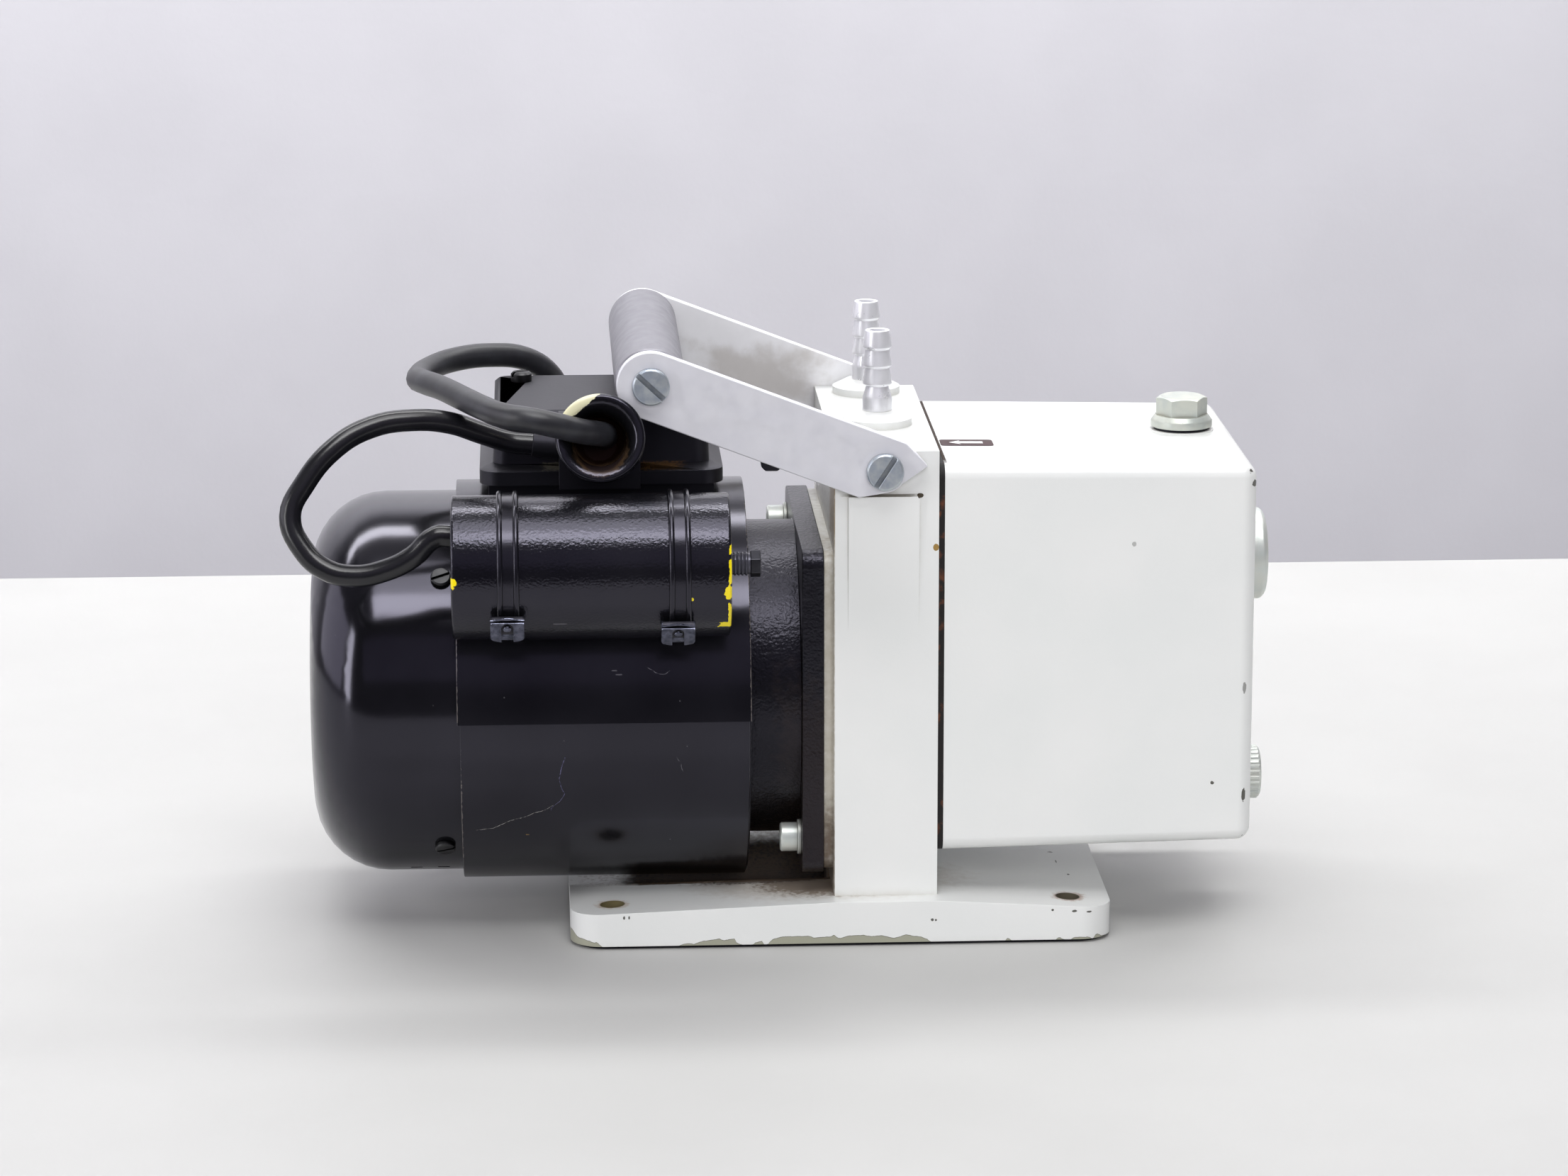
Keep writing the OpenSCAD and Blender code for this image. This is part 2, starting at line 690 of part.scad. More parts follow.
module filler_plug() {
  collar_h = 4;
  r = filler_d / 2;
  color("lightgray") translate([box_x0 + filler_x, filler_y, filler_z + plug_seal_t]) {
    rotate_extrude() polygon([[0, 0], [r, 0], [r, collar_h - 2], [r - 1.4, collar_h], [0, collar_h]]);
    intersection() {
      cylinder(collar_h + filler_hex_h, d = filler_af / cos(30), $fn = 6);
      rotate_extrude() polygon([[0, 0], [10, 0], [10, collar_h + filler_hex_h - 1.4],
        [7, collar_h + filler_hex_h], [0, collar_h + filler_hex_h]]);
    }
    translate([0, 0, -10]) cylinder(11, r = filler_thread_r);
  }
}

module filler_seal() {
  color("black") translate([box_x0 + filler_x, filler_y, filler_z]) difference() {
    cylinder(plug_seal_t - fit, r = filler_d / 2 - 1);
    translate([0, 0, -1]) cylinder(3, r = filler_thread_r + run);
  }
}

module sight_bezel() {
  r = sight_d / 2;
  color("silver") turned(box_x1, 0, base_z + sight_z, [[r - 6, -5], [r - 3 - fit, -5],
    [r - 3 - fit, 0], [r, 0], [r, knob_l - 1.5], [r - 1.5, knob_l], [r - 4, knob_l],
    [r - 6, knob_l - 3]]);
}

module sight_glass() {
  color("lightblue") along_x(box_x1 - 4, 0, base_z + sight_z)
    cylinder(knob_l - 1, r = sight_d / 2 - 6 - fit);
}

// Knurled head as a ring of notches
module drain_plug() {
  r = drain_d / 2;
  notches = 30;
  color("silver") along_x(box_x1 + plug_seal_t, 0, base_z + drain_z) {
    difference() {
      rotate_extrude() polygon([[0, 0], [r, 0], [r, knob_l - 2], [r - 1, knob_l - 1], [0, knob_l - 1]]);
      for (i = [0 : notches - 1]) rotate(i * 360 / notches) translate([r + 0.35, 0, 1])
        cylinder(knob_l, r = 0.7, $fn = 16);
    }
    translate([0, 0, -8]) cylinder(9, r = drain_thread_r);
  }
}

module drain_seal() {
  r = drain_d / 2;
  color("black") turned(box_x1, 0, base_z + drain_z, [[drain_thread_r + run, 0], [r - 1, 0],
    [r - 1, plug_seal_t - fit], [drain_thread_r + run, plug_seal_t - fit]]);
}

// Bell between the motor and the block, with the front bearing's hub and a square flange
module adaptor_bell() {
  wall = 6;
  color("#26262a") difference() {
    union() {
      slab_x(flange_x, flange_t) translate([0, axis_z]) round_rect(flange_s, flange_s, flange_r);
      disc_x(shell_x1, neck_l + 1, neck_d / 2);
      disc_x(shell_x1 - bell_plug_l, bell_plug_l, shell_in_r - fit);
      disc_x(front_bearing_x - 4, bearing_w + 5, hub_r);
    }
    difference() {
      disc_x(shell_x1, neck_l + flange_t + 1, neck_d / 2 - wall);
      disc_x(shell_x1 - 1, front_bearing_x + bearing_w + 2 - shell_x1, hub_r);
    }
    disc_x(shell_x1 - bell_plug_l - 5, 60, shaft_d / 2 + 2);
    disc_x(front_bearing_x, bearing_w + 5, bearing_od / 2 + fit);
    for (s = [-1, 1]) along_x(flange_x - 1, s * flange_screw, axis_z + s * flange_screw)
      cylinder(flange_t + 2, r = m6_r + fit);
  }
}

module flange_screws() {
  color("silver") for (s = [-1, 1]) translate([flange_x - washer_t, s * flange_screw,
    axis_z + s * flange_screw]) rotate([0, -90, 0])
      socket_screw(m6_r, m6_head_r, m6_head_h, flange_t + washer_t + block_thread);
}

module flange_washers() {
  color("silver") for (s = [-1, 1]) turned(flange_x - washer_t, s * flange_screw,
    axis_z + s * flange_screw, [[m6_r + fit, 0], [washer_r, 0], [washer_r, washer_t],
      [m6_r + fit, washer_t]]);
}

module motor_shell() {
  r = shell_d / 2;
  color("#1c1c20") turned(shell_x0, 0, axis_z, [[shell_in_r, 0], [r - 0.6, 0], [r, 0.6],
    [r, shell_l - 0.6], [r - 0.6, shell_l], [shell_in_r, shell_l]]);
}

// Pressed dome, with two pairs of small air slots low down
module end_cap() {
  r = cap_d / 2;
  l = cap_l + cap_lap;
  outer = [for (a = [90 : -10 : 0]) [r - cap_r + cap_r * cos(a), cap_r - cap_r * sin(a)]];
  inner = [for (a = [0 : 10 : 90]) [r - cap_r + (cap_r - shell_t) * cos(a),
    cap_r - (cap_r - shell_t) * sin(a)]];
  slot = [4, 1.5, 12];
  color("#222226") difference() {
    turned(cap_x0, 0, axis_z, concat([[0, 0]], outer, [[r, l], [r - shell_t, l]], inner,
      [[0, shell_t]]));
    for (i = [0, 1, 2, 3]) along_x(cap_screw_x, 0, axis_z) rotate([0, 0, 45 + 90 * i])
      rotate([0, 90, 0]) translate([0, 0, r - cap_screw_l]) cylinder(2 * cap_screw_l, r = cap_screw_r + run);
    for (s = [-1, 1], k = [0, 1]) translate([cap_screw_x - vent_in - k * vent_pitch, 0, axis_z])
      rotate([s * 25, 0, 0]) translate([0, 0, -r]) cube(slot, center = true);
  }
}

module end_cap_screws() {
  r = cap_d / 2;
  color("#18181a") for (i = [0 : 3]) along_x(cap_screw_x, 0, axis_z) rotate([0, 0, 45 + 90 * i])
    rotate([0, 90, 0]) translate([0, 0, r]) {
      slotted_head(cap_screw_d / 2, cap_screw_h, 0.9, cap_screw_h / 2, 0.5, 20);
      translate([0, 0, -cap_screw_l]) cylinder(cap_screw_l + 0.5, r = cap_screw_r);
    }
}

module rear_shield() {
  rim_x = shield_x0 - shield_rim_l;
  color("dimgray") difference() {
    union() {
      disc_x(shield_x0, shield_web_t, shell_in_r - fit);
      difference() {
        disc_x(rim_x, shield_rim_l + 1, shield_rim_r);
        disc_x(rim_x - 1, shield_rim_l + 1, shield_rim_r - shield_rim_t);
      }
      disc_x(rear_bearing_x - 3, bearing_w + 3, hub_r);
    }
    disc_x(rear_bearing_x - 4, 30, shaft_d / 2 + 2);
    disc_x(rear_bearing_x, 30, bearing_od / 2 + fit);
    for (i = [0 : 3]) along_x(cap_screw_x, 0, axis_z) rotate([0, 0, 45 + 90 * i])
      rotate([0, 90, 0]) translate([0, 0, shield_rim_r - cap_screw_l - 3])
          cylinder(cap_screw_l + 5, r = cap_screw_r + fit);
  }
}

module motor_bearings() {
  color("lightsteelblue") for (x = [rear_bearing_x, front_bearing_x]) turned(x, 0, axis_z,
    [[shaft_d / 2 + fit, 0], [bearing_od / 2, 0], [bearing_od / 2, bearing_w],
      [shaft_d / 2 + fit, bearing_w]]);
}

module stator_core() {
  color("slategray") turned(core_x0, 0, axis_z, [[rotor_d / 2 + air_gap, 0], [shell_in_r - fit, 0],
    [shell_in_r - fit, core_l], [rotor_d / 2 + air_gap, core_l]]);
}

module stator_windings() {
  e = 3;
  color("peru") for (x = [core_x0 - winding_l, core_x1]) turned(x, 0, axis_z,
    [[winding_r0, e], [winding_r0 + e, 0], [winding_r1 - e, 0], [winding_r1, e],
      [winding_r1, winding_l - e], [winding_r1 - e, winding_l], [winding_r0 + e, winding_l],
      [winding_r0, winding_l - e]]);
}

module motor_rotor() {
  ring_l = 5;
  color("darkgray") difference() {
    union() {
      disc_x(core_x0, core_l, rotor_d / 2);
      disc_x(core_x0 - ring_l, core_l + 2 * ring_l, rotor_d / 2 - 6);
    }
    disc_x(core_x0 - ring_l - 1, core_l + 2 * ring_l + 2, shaft_d / 2 + fit);
  }
}

module motor_shaft() {
  color("silver") disc_x(shaft_x0, shaft_x1 - shaft_x0, shaft_d / 2);
}

module cooling_fan() {
  color("gray") difference() {
    union() {
      disc_x(fan_x, fan_w, fan_hub_r);
      disc_x(fan_x + fan_w - fan_plate_t, fan_plate_t, fan_d / 2);
      for (i = [0 : fan_blades - 1]) translate([fan_x, 0, axis_z]) rotate([i * 360 / fan_blades, 0, 0])
        translate([0, -0.8, fan_hub_r - 1]) cube([fan_w - 1, 1.6, fan_d / 2 - fan_hub_r - 1]);
    }
    disc_x(fan_x - 1, fan_w + 2, shaft_d / 2 + fit);
  }
}

module shaft_coupling() {
  x0 = coupling_x - coupling_l / 2;
  color("gray") difference() {
    disc_x(x0, coupling_l, coupling_r);
    disc_x(x0 - 1, coupling_l / 2 + 1, shaft_d / 2 + fit);
    disc_x(coupling_x - 1, coupling_l, pump_shaft_r + fit);
  }
}

module shaft_seal() {
  color("black") turned(seal_x, 0, axis_z, [[pump_shaft_r + fit, 0], [seal_r, 0],
    [seal_r, seal_w], [pump_shaft_r + fit, seal_w]]);
}

module pump_stator() {
  color("slategray") difference() {
    disc_x(stator_x, chamber_l, chamber_d / 2);
    along_x(stator_x - 1, 0, axis_z - bore_drop) cylinder(chamber_l + 2, d = chamber_bore_d);
    translate([stator_x - 1, -chamber_d / 2, axis_z + valve_flat]) cube([chamber_l + 2, chamber_d, 10]);
    translate([stator_x + chamber_l / 2, 8, axis_z]) cylinder(chamber_d, r = port_r);
  }
}

module pump_end_plates() {
  color("darkgray") difference() {
    for (x = [plate_x, stator_x1]) disc_x(x, plate_t, chamber_d / 2);
    disc_x(plate_x - 1, plate_t + chamber_l + plate_t, pump_shaft_r + fit);
    along_x(plate_x - 1, port_front, inlet_z) cylinder(plate_t + 2, r = port_r);
  }
}

// Leaf valve over the discharge port, under its stop
module exhaust_valve() {
  leaf = [chamber_l - 8, 22, 0.5];
  color("silver") translate([stator_x + 4, -leaf[1] / 2 + 4, axis_z + valve_flat]) {
    cube(leaf);
    translate([0, 0, leaf[2]]) cube([leaf[0], leaf[1], 2]);
    translate([5, leaf[1] / 2, leaf[2] + 2]) cylinder(2.5, r = 3);
    translate([leaf[0] - 5, leaf[1] / 2, leaf[2] + 2]) cylinder(2.5, r = 3);
  }
}

module pump_rotor() {
  slot_r = vane_tip_r - vane_h - run;
  shaft_x = coupling_x + shaft_gap / 2;
  color("gray") difference() {
    union() {
      disc_x(stator_x + run, chamber_l - 2 * run, pump_rotor_r);
      disc_x(shaft_x, stator_x1 + plate_t - 1 - shaft_x, pump_shaft_r);
    }
    for (s = [0, 180]) translate([stator_x, 0, axis_z]) rotate([s, 0, 0])
      translate([-1, -vane_t / 2 - fit, slot_r]) cube([chamber_l + 2, vane_t + 2 * fit, chamber_d]);
    for (x = spring_places) translate([x, 0, axis_z - slot_r - 1])
      cylinder(2 * slot_r + 2, r = spring_r + 1);
  }
}

module pump_vanes() {
  color("#5a4a3a") for (s = [0, 180]) translate([stator_x + run, 0, axis_z]) rotate([s, 0, 0])
    intersection() {
      translate([0, -vane_t / 2, vane_tip_r - vane_h]) cube([chamber_l - 2 * run, vane_t, vane_h]);
      rotate([0, 90, 0]) cylinder(chamber_l, r = vane_tip_r);
    }
}

// Two small springs between the vanes, each wound from eight rings a curl
spring_r = 2;
spring_wire_r = 0.35;
spring_curls = 6;
spring_places = [stator_x + chamber_l * 0.3, stator_x + chamber_l * 0.7];
spring_l = 2 * (vane_tip_r - vane_h - spring_wire_r - fit);
module vane_springs() {
  steps = spring_curls * 8;
  color("silver") for (x = spring_places) tube([for (i = [0 : steps]) [
    x + spring_r * cos(45 * i), spring_r * sin(45 * i), axis_z - spring_l / 2 + spring_l * i / steps]],
    spring_wire_r, 6, [1, 0, 0]);
}

// Tray on a foot that follows the motor shell, its rim falling outwards, with the gland's housing in front
module terminal_tray() {
  color("#202024") difference() {
    union() {
      hull() {
        translate([tray_mid_x, 0, tray_z]) linear_extrude(tray_h - ledge_fall)
          round_rect(tray_l, tray_w, tray_r);
        translate([tray_mid_x, 0, cover_z - 0.1]) linear_extrude(0.1)
          round_rect(tray_l - 2 * cover_in, tray_w - 2 * cover_in, cover_r);
      }
      translate([tray_x0 + pedestal_in, -pedestal_w / 2, axis_z + shell_d / 2 - 10])
        cube([tray_l - 2 * pedestal_in, pedestal_w, tray_lift + 11]);
      translate([housing_x - housing_l / 2, housing_y, tray_z])
        cube([housing_l, housing_back_y - housing_y, cover_top - tray_z]);
    }
    disc_x(tray_x0 - 1, tray_l + 2, shell_d / 2);
    translate([tray_mid_x, 0, tray_z + tray_wall]) linear_extrude(tray_h)
      round_rect(tray_l - 2 * (cover_in + tray_wall), tray_w - 2 * (cover_in + tray_wall), 3);
    cover_screw_places(cover_z - lid_thread_l - 1) cylinder(lid_thread_l + 2, r = lid_thread_r + fit);
  }
}

module terminal_cover() {
  l = tray_l - 2 * cover_in;
  w = tray_w - 2 * cover_in;
  color("#232327") difference() {
    union() {
      difference() {
        hull() {
          translate([tray_mid_x, 0, cover_z]) linear_extrude(0.1) round_rect(l, w, cover_r);
          translate([tray_mid_x, 0, cover_top - 1.2]) linear_extrude(0.1) round_rect(l - 1.4, w - 1.4, cover_r);
          translate([tray_mid_x, 0, cover_top - 0.1]) linear_extrude(0.1) round_rect(l - 4, w - 4, cover_r - 1);
        }
        translate([tray_mid_x, 0, cover_z - 0.1]) linear_extrude(cover_h - tray_wall)
          round_rect(l - 2 * tray_wall - 1, w - 2 * tray_wall - 1, 3);
      }
      cover_screw_places(cover_z) cylinder(cover_h - 1, r = lid_screw_d / 2 + 1);
    }
    cover_screw_places(cover_z - 1) cylinder(cover_h + 2, r = lid_shank_r + fit);
  }
}

// The two lid screws stand on a diagonal: left at the back, right at the front
module cover_screw_places(z) {
  for (s = [-1, 1]) translate([tray_mid_x + s * (tray_l / 2 - cover_in - lid_screw_in),
    -s * (tray_w / 2 - cover_in - lid_screw_side), z]) children();
}

module cover_screws() {
  color("#18181a") cover_screw_places(cover_top) {
    slotted_head(lid_screw_d / 2, lid_screw_h, 1.1, lid_screw_h / 2, 0.8, 35);
    translate([0, 0, -cover_h]) cylinder(cover_h + 0.5, r = lid_shank_r);
    translate([0, 0, -cover_h - lid_thread_l]) cylinder(lid_thread_l + 1, r = lid_thread_r);
  }
}

// Bell-mouthed gland, tilted up and cut square where it meets its housing
module cable_gland() {
  r = gland_d / 2;
  t = throat_d / 2;
  l = gland_l;
  lip_r = 1.5;
  flare_l = 9;
  outer = [for (a = [90 : -15 : 0]) [r - (r - gland_tube_r) * sin(a), l - 3 - flare_l + flare_l * cos(a)]];
  lip = [for (a = [0 : 30 : 90]) [r - lip_r + lip_r * cos(a), l - lip_r + lip_r * sin(a)]];
  inner = [for (a = [15 : 15 : 90]) [r - lip_r - (r - lip_r - t) * sin(a), l - flare_l + flare_l * cos(a)]];
  floor = [[t, gland_floor + 3], [t - 3, gland_floor], [0, gland_floor]];
  color("#1a1a1d") difference() {
    translate(gland_root) rotate([90 - gland_tilt, 0, 0]) rotate_extrude($fn = 96)
      polygon(concat([[0, -6], [gland_tube_r, -6]], outer, lip, inner, floor));
    translate([housing_x - 30, housing_y, gland_z - 30]) cube([60, 30, 60]);
  }
}

// Tapered boot where the lead leaves the gland's housing
module lead_boot() {
  color("#161618") difference() {
    translate(lead_exit) rotate([0, -84, 0]) translate([0, 0, -3])
      cylinder(lead_boot_l + 3, r1 = lead_d / 2 + 1.6, r2 = lead_d / 2 + 0.5);
    translate(lead_exit + [0, -10, -10]) cube(20);
  }
}

module capacitor() {
  e = 1.2;
  color("#1b1b1e") turned(can_x, can_y, can_z, [[0, 0], [can_r - e, 0], [can_r - 0.3 * e, 0.3 * e],
    [can_r, e], [can_r, can_l - e], [can_r - 0.3 * e, can_l - 0.3 * e], [can_r - e, can_l],
    [stud_r, can_l], [stud_r, can_l + stud_l], [stud_tip_r, can_l + stud_l],
    [stud_tip_r, can_l + stud_l + stud_tip_l], [0, can_l + stud_l + stud_tip_l]]);
}

// Saddle between the motor shell and the capacitor
module capacitor_saddle() {
  color("#1e1e22") slab_x(strap_mid_x - saddle_l / 2, saddle_l) difference() {
    translate([0, axis_z]) rotate(180 - can_angle) translate([shell_d / 2 - saddle_lap,
      -saddle_w / 2]) square([can_gap + 2 * saddle_lap, saddle_w]);
    translate([0, axis_z]) circle(d = shell_d, $fn = 96);
    translate([can_y, can_z]) circle(can_r, $fn = 96);
  }
}

module capacitor_straps() {
  r = can_r + fit;
  w = strap_w;
  t = strap_t;
  b = bead_w / 2;
  h = t + bead_h;
  color("steelblue") for (s = [-1, 1]) turned(strap_mid_x + s * strap_pitch / 2 - w / 2, can_y, can_z,
    [[r, 0], [r + t, 0], [r + h, b], [r + t, 2 * b], [r + t, w - 2 * b], [r + h, w - b], [r + t, w],
      [r, w]]);
}

module strap_buckles() {
  lift = can_r + strap_t + bead_h + fit;
  slot = [buckle[0] - 4, buckle[1] + 2, 1];
  color("steelblue") for (i = [0, 1])
    translate([strap_mid_x + (i - 0.5) * strap_pitch, can_y, can_z])
      rotate([buckle_angles[i] - 90, 0, 0]) translate([-buckle[0] / 2, -buckle[1] / 2, lift])
        difference() {
          cube(buckle);
          translate([2, -1, 1.5]) cube(slot);
        }
}

module capacitor_nut() {
  color("gray") along_x(can_x + can_l + stud_l + fit, can_y, can_z) difference() {
    cylinder(stud_tip_l - fit, d = stud_nut_af / cos(30), $fn = 6);
    translate([0, 0, -1]) cylinder(stud_tip_l + 2, r = stud_tip_r + fit);
  }
}

// Outline of an arm about its pivot: x runs to the grip, y is up
module arm_outline() {
  toe = [for (a = [195 : 15 : 250]) 7.5 * [cos(a), sin(a)]];
  translate([pivot_x, pivot_z]) rotate(-rest_angle) mirror([1, 0]) difference() {
    union() {
      polygon(concat([[arm_reach, arm_hw], [-3.6, arm_hw], [-13.1, 6.6]], toe,
        [[arm_heel, -arm_hw], [arm_reach, -arm_hw]]));
      translate([arm_reach, 0]) circle(arm_hw, $fn = 64);
    }
    circle(arm_pin_r + fit);
    translate([arm_reach, 0]) circle(grip_pin_r + fit);
  }
}

module handle_arm_front() {
  color("gainsboro") slab_y(-arm_y - arm_t, arm_t) arm_outline();
}

module handle_arm_rear() {
  color("gainsboro") slab_y(arm_y, arm_t) arm_outline();
}

module handle_grip() {
  l = 2 * arm_y;
  color("darkgray") to_front(grip_x, arm_y, grip_z) difference() {
    cylinder(l, d = grip_d, $fn = 96);
    for (z = [-1, l - 20]) translate([0, 0, z]) cylinder(21, r = grip_pin_r + fit);
  }
}

module arm_screw(r, under, l, turn) {
  slotted_head(arm_screw_d / 2, arm_screw_h, 1.7, 1.3, 0.6, turn);
  translate([0, 0, -under]) cylinder(under + 0.5, r = r);
  translate([0, 0, -l]) cylinder(l, r = min(r, m6_r));
}

module grip_screws() {
  color("silver") for (j = [0, 1]) mirror([0, j, 0]) to_front(grip_x, -arm_y - arm_t, grip_z)
    arm_screw(grip_pin_r, arm_t, arm_t + 16, -43);
}

module pivot_screws() {
  color("silver") for (j = [0, 1]) mirror([0, j, 0]) to_front(pivot_x, -arm_y - arm_t - run, pivot_z)
    arm_screw(arm_pin_r, arm_t + run + arm_gap, arm_t + run + arm_gap + pivot_thread, 57);
}

// Small dark stop pad on the inner face of the front arm
module arm_buffer() {
  buffer = [7.2, 5, 9];
  color("#1a1a1c") translate([pivot_x - 37.9, -arm_y, pivot_z]) slab_y(0, buffer[1]) polygon([
    [-buffer[0] / 2, 1.2], [-buffer[0] / 2 + 1.5, -0.4], [buffer[0] / 2 - 1.5, -0.4],
    [buffer[0] / 2, 1.2], [buffer[0] / 2, buffer[2]], [-buffer[0] / 2, buffer[2]]]);
}

module capacitor_lead() {
  color("#2b2a30") tube(lead_points, lead_d / 2, 10, [0, 1, 0]);
}

module mains_cord() {
  color("#5d5f66") tube(cord_points, cord_d / 2, 10, [1, 0, 0]);
}

module mains_coil() {
  color("#5d5f66") tube(coil_points, cord_d / 2, 6, [1, 0, 0]);
}

// Band round the coil's turns, on the side away from where they start
module coil_tie() {
  inner = coil_radius(coil_turns - 1.75) - cord_d / 2 - tie_gap;
  outer = coil_radius(0.5) + cord_d / 2 + tie_gap;
  bottom = coil_z - cord_d / 2 - tie_gap;
  top = coil_z + coil_pitch + cord_d / 2 + tie_gap;
  size = [outer - inner, top - bottom];
  color("#26262a") translate([coil_c[0] + (inner + outer) / 2, 0, (bottom + top) / 2])
    slab_y(coil_c[1] - tie_w / 2, tie_w) difference() {
      round_rect(size[0] + 2 * tie_t, size[1] + 2 * tie_t, 4);
      round_rect(size[0], size[1], 3);
    }
}

// Plain moulded plug with two round pins, lying on the surface behind the coil
module mains_plug() {
  boot_l = 24;
  body_l = 36;
  pin_l = 19;
  h = 2 * plug_at[2];
  color("#3a3a3e") translate(plug_at) rotate([0, 90, 0]) {
    cylinder(boot_l, r1 = cord_d / 2 + 1, r2 = cord_d / 2 + 4);
    translate([0, 0, boot_l]) linear_extrude(body_l) round_rect(h, 36, 9);
    for (j = [-1, 1]) translate([0, j * 9.5, boot_l + body_l - 1]) cylinder(pin_l + 1, d = 4.8);
  }
}

base_mat();
base_plate();
base_screws();
mounting_block();
inlet_barb();
outlet_barb();
oil_box_gasket();
oil_box();
oil_box_screws();
filler_plug();
filler_seal();
sight_bezel();
sight_glass();
drain_plug();
drain_seal();
adaptor_bell();
flange_screws();
flange_washers();
motor_shell();
end_cap();
end_cap_screws();
rear_shield();
motor_bearings();
stator_core();
stator_windings();
motor_rotor();
motor_shaft();
cooling_fan();
shaft_coupling();
shaft_seal();
pump_stator();
pump_end_plates();
exhaust_valve();
pump_rotor();
pump_vanes();
vane_springs();
terminal_tray();
terminal_cover();
cover_screws();
cable_gland();
lead_boot();
capacitor();
capacitor_saddle();
capacitor_straps();
strap_buckles();
capacitor_nut();
handle_arm_front();
handle_arm_rear();
handle_grip();
grip_screws();
pivot_screws();
arm_buffer();
capacitor_lead();
mains_cord();
mains_coil();
coil_tie();
mains_plug();
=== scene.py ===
# Small rotary vane vacuum pump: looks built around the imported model, in metres.
import json
import math

import bmesh
import bpy
from mathutils import Matrix, Vector

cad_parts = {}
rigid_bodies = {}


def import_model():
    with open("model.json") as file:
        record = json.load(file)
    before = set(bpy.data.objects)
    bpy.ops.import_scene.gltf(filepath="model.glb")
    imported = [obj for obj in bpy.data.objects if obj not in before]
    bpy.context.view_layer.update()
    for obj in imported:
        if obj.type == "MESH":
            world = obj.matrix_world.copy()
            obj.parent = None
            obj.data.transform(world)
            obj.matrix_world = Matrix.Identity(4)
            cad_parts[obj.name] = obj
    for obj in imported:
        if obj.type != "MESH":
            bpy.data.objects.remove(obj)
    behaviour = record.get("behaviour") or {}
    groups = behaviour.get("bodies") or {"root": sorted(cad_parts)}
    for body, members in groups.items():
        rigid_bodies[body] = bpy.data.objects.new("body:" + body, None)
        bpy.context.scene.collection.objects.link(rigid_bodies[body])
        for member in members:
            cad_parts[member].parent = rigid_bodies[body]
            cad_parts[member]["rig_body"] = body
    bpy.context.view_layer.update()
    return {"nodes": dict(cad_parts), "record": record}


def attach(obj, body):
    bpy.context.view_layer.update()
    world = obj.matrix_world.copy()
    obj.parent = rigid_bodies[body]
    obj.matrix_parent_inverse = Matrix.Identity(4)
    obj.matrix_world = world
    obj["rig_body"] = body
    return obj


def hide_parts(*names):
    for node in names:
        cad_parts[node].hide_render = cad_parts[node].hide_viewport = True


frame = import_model()
nodes = frame["nodes"]
scene = bpy.context.scene
mm = 0.001
slotOf = {part["node"]: part["material_slot"] for part in frame["record"]["subparts"]}
bodyOf = {name: obj["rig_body"] for name, obj in nodes.items()}

# Camera, at the photograph's place
photoCamera = {
    "place": (-0.10303, -1.70740, 0.51132),
    "turn": 2.9008,  # degrees to the right of straight ahead
    "down": 13.1896,
    "roll": -0.0815,
    "lens": 115.05,
    "sensor": 36,
    "nearFar": (0.05, 20),
}
camera = bpy.data.objects.new("photoCamera", bpy.data.cameras.new("photoCamera"))
camera.data.lens = photoCamera["lens"]
camera.data.sensor_width = photoCamera["sensor"]
camera.data.clip_start, camera.data.clip_end = photoCamera["nearFar"]
camera.matrix_world = (
    Matrix.Translation(photoCamera["place"])
    @ Matrix.Rotation(math.radians(-photoCamera["turn"]), 4, "Z")
    @ Matrix.Rotation(math.radians(90 - photoCamera["down"]), 4, "X")
    @ Matrix.Rotation(math.radians(photoCamera["roll"]), 4, "Z")
)
scene.collection.objects.link(camera)
scene.camera = camera
print("camera in place")


# Tools for materials
def linear(hexColour):
    shares = [int(hexColour[i : i + 2], 16) / 255 for i in (1, 3, 5)]
    return (*[s / 12.92 if s <= 0.04045 else ((s + 0.055) / 1.055) ** 2.4 for s in shares], 1)


# Adds a node with its inputs and settings, and gives one of its outputs
def addNode(tree, kind, inputs=None, give=0, **settings):
    node = tree.nodes.new("ShaderNode" + kind)
    for name, value in settings.items():
        setattr(node, name, value)
    for name, value in (inputs or {}).items():
        if isinstance(value, bpy.types.NodeSocket):
            tree.links.new(value, node.inputs[name])
        else:
            node.inputs[name].default_value = value
    return node.outputs[give]


# Grain in the height of the surface: a list of (size in mm, height in mm)
def addGrain(tree, shader, place, grains, stretch=(1, 1, 1)):
    normal = None
    for size, height in grains:
        spread = addNode(tree, "Mapping", {"Vector": place, "Scale": stretch})
        noise = addNode(tree, "TexNoise", {"Vector": spread, "Scale": 1 / (size * mm),
                        "Detail": 2.0, "Roughness": 0.45})
        bump = addNode(tree, "Bump", {"Height": noise, "Distance": height * mm, "Strength": 1.0})
        if normal:
            tree.links.new(normal, bump.node.inputs["Normal"])
        normal = bump
    tree.links.new(normal, shader.inputs["Normal"])


# Colour that drifts between two tones over a size in mm, between two levels of the noise
def driftColour(tree, place, tones, size, detail=3.0, low=0.35, high=0.65):
    noise = addNode(tree, "TexNoise", {"Vector": place, "Scale": 1 / (size * mm), "Detail": detail})
    share = addNode(tree, "MapRange", {"Value": noise, "From Min": low, "From Max": high})
    return addNode(tree, "Mix", {0: share, 6: linear(tones[0]), 7: linear(tones[1])}, 2,
                   data_type="RGBA")


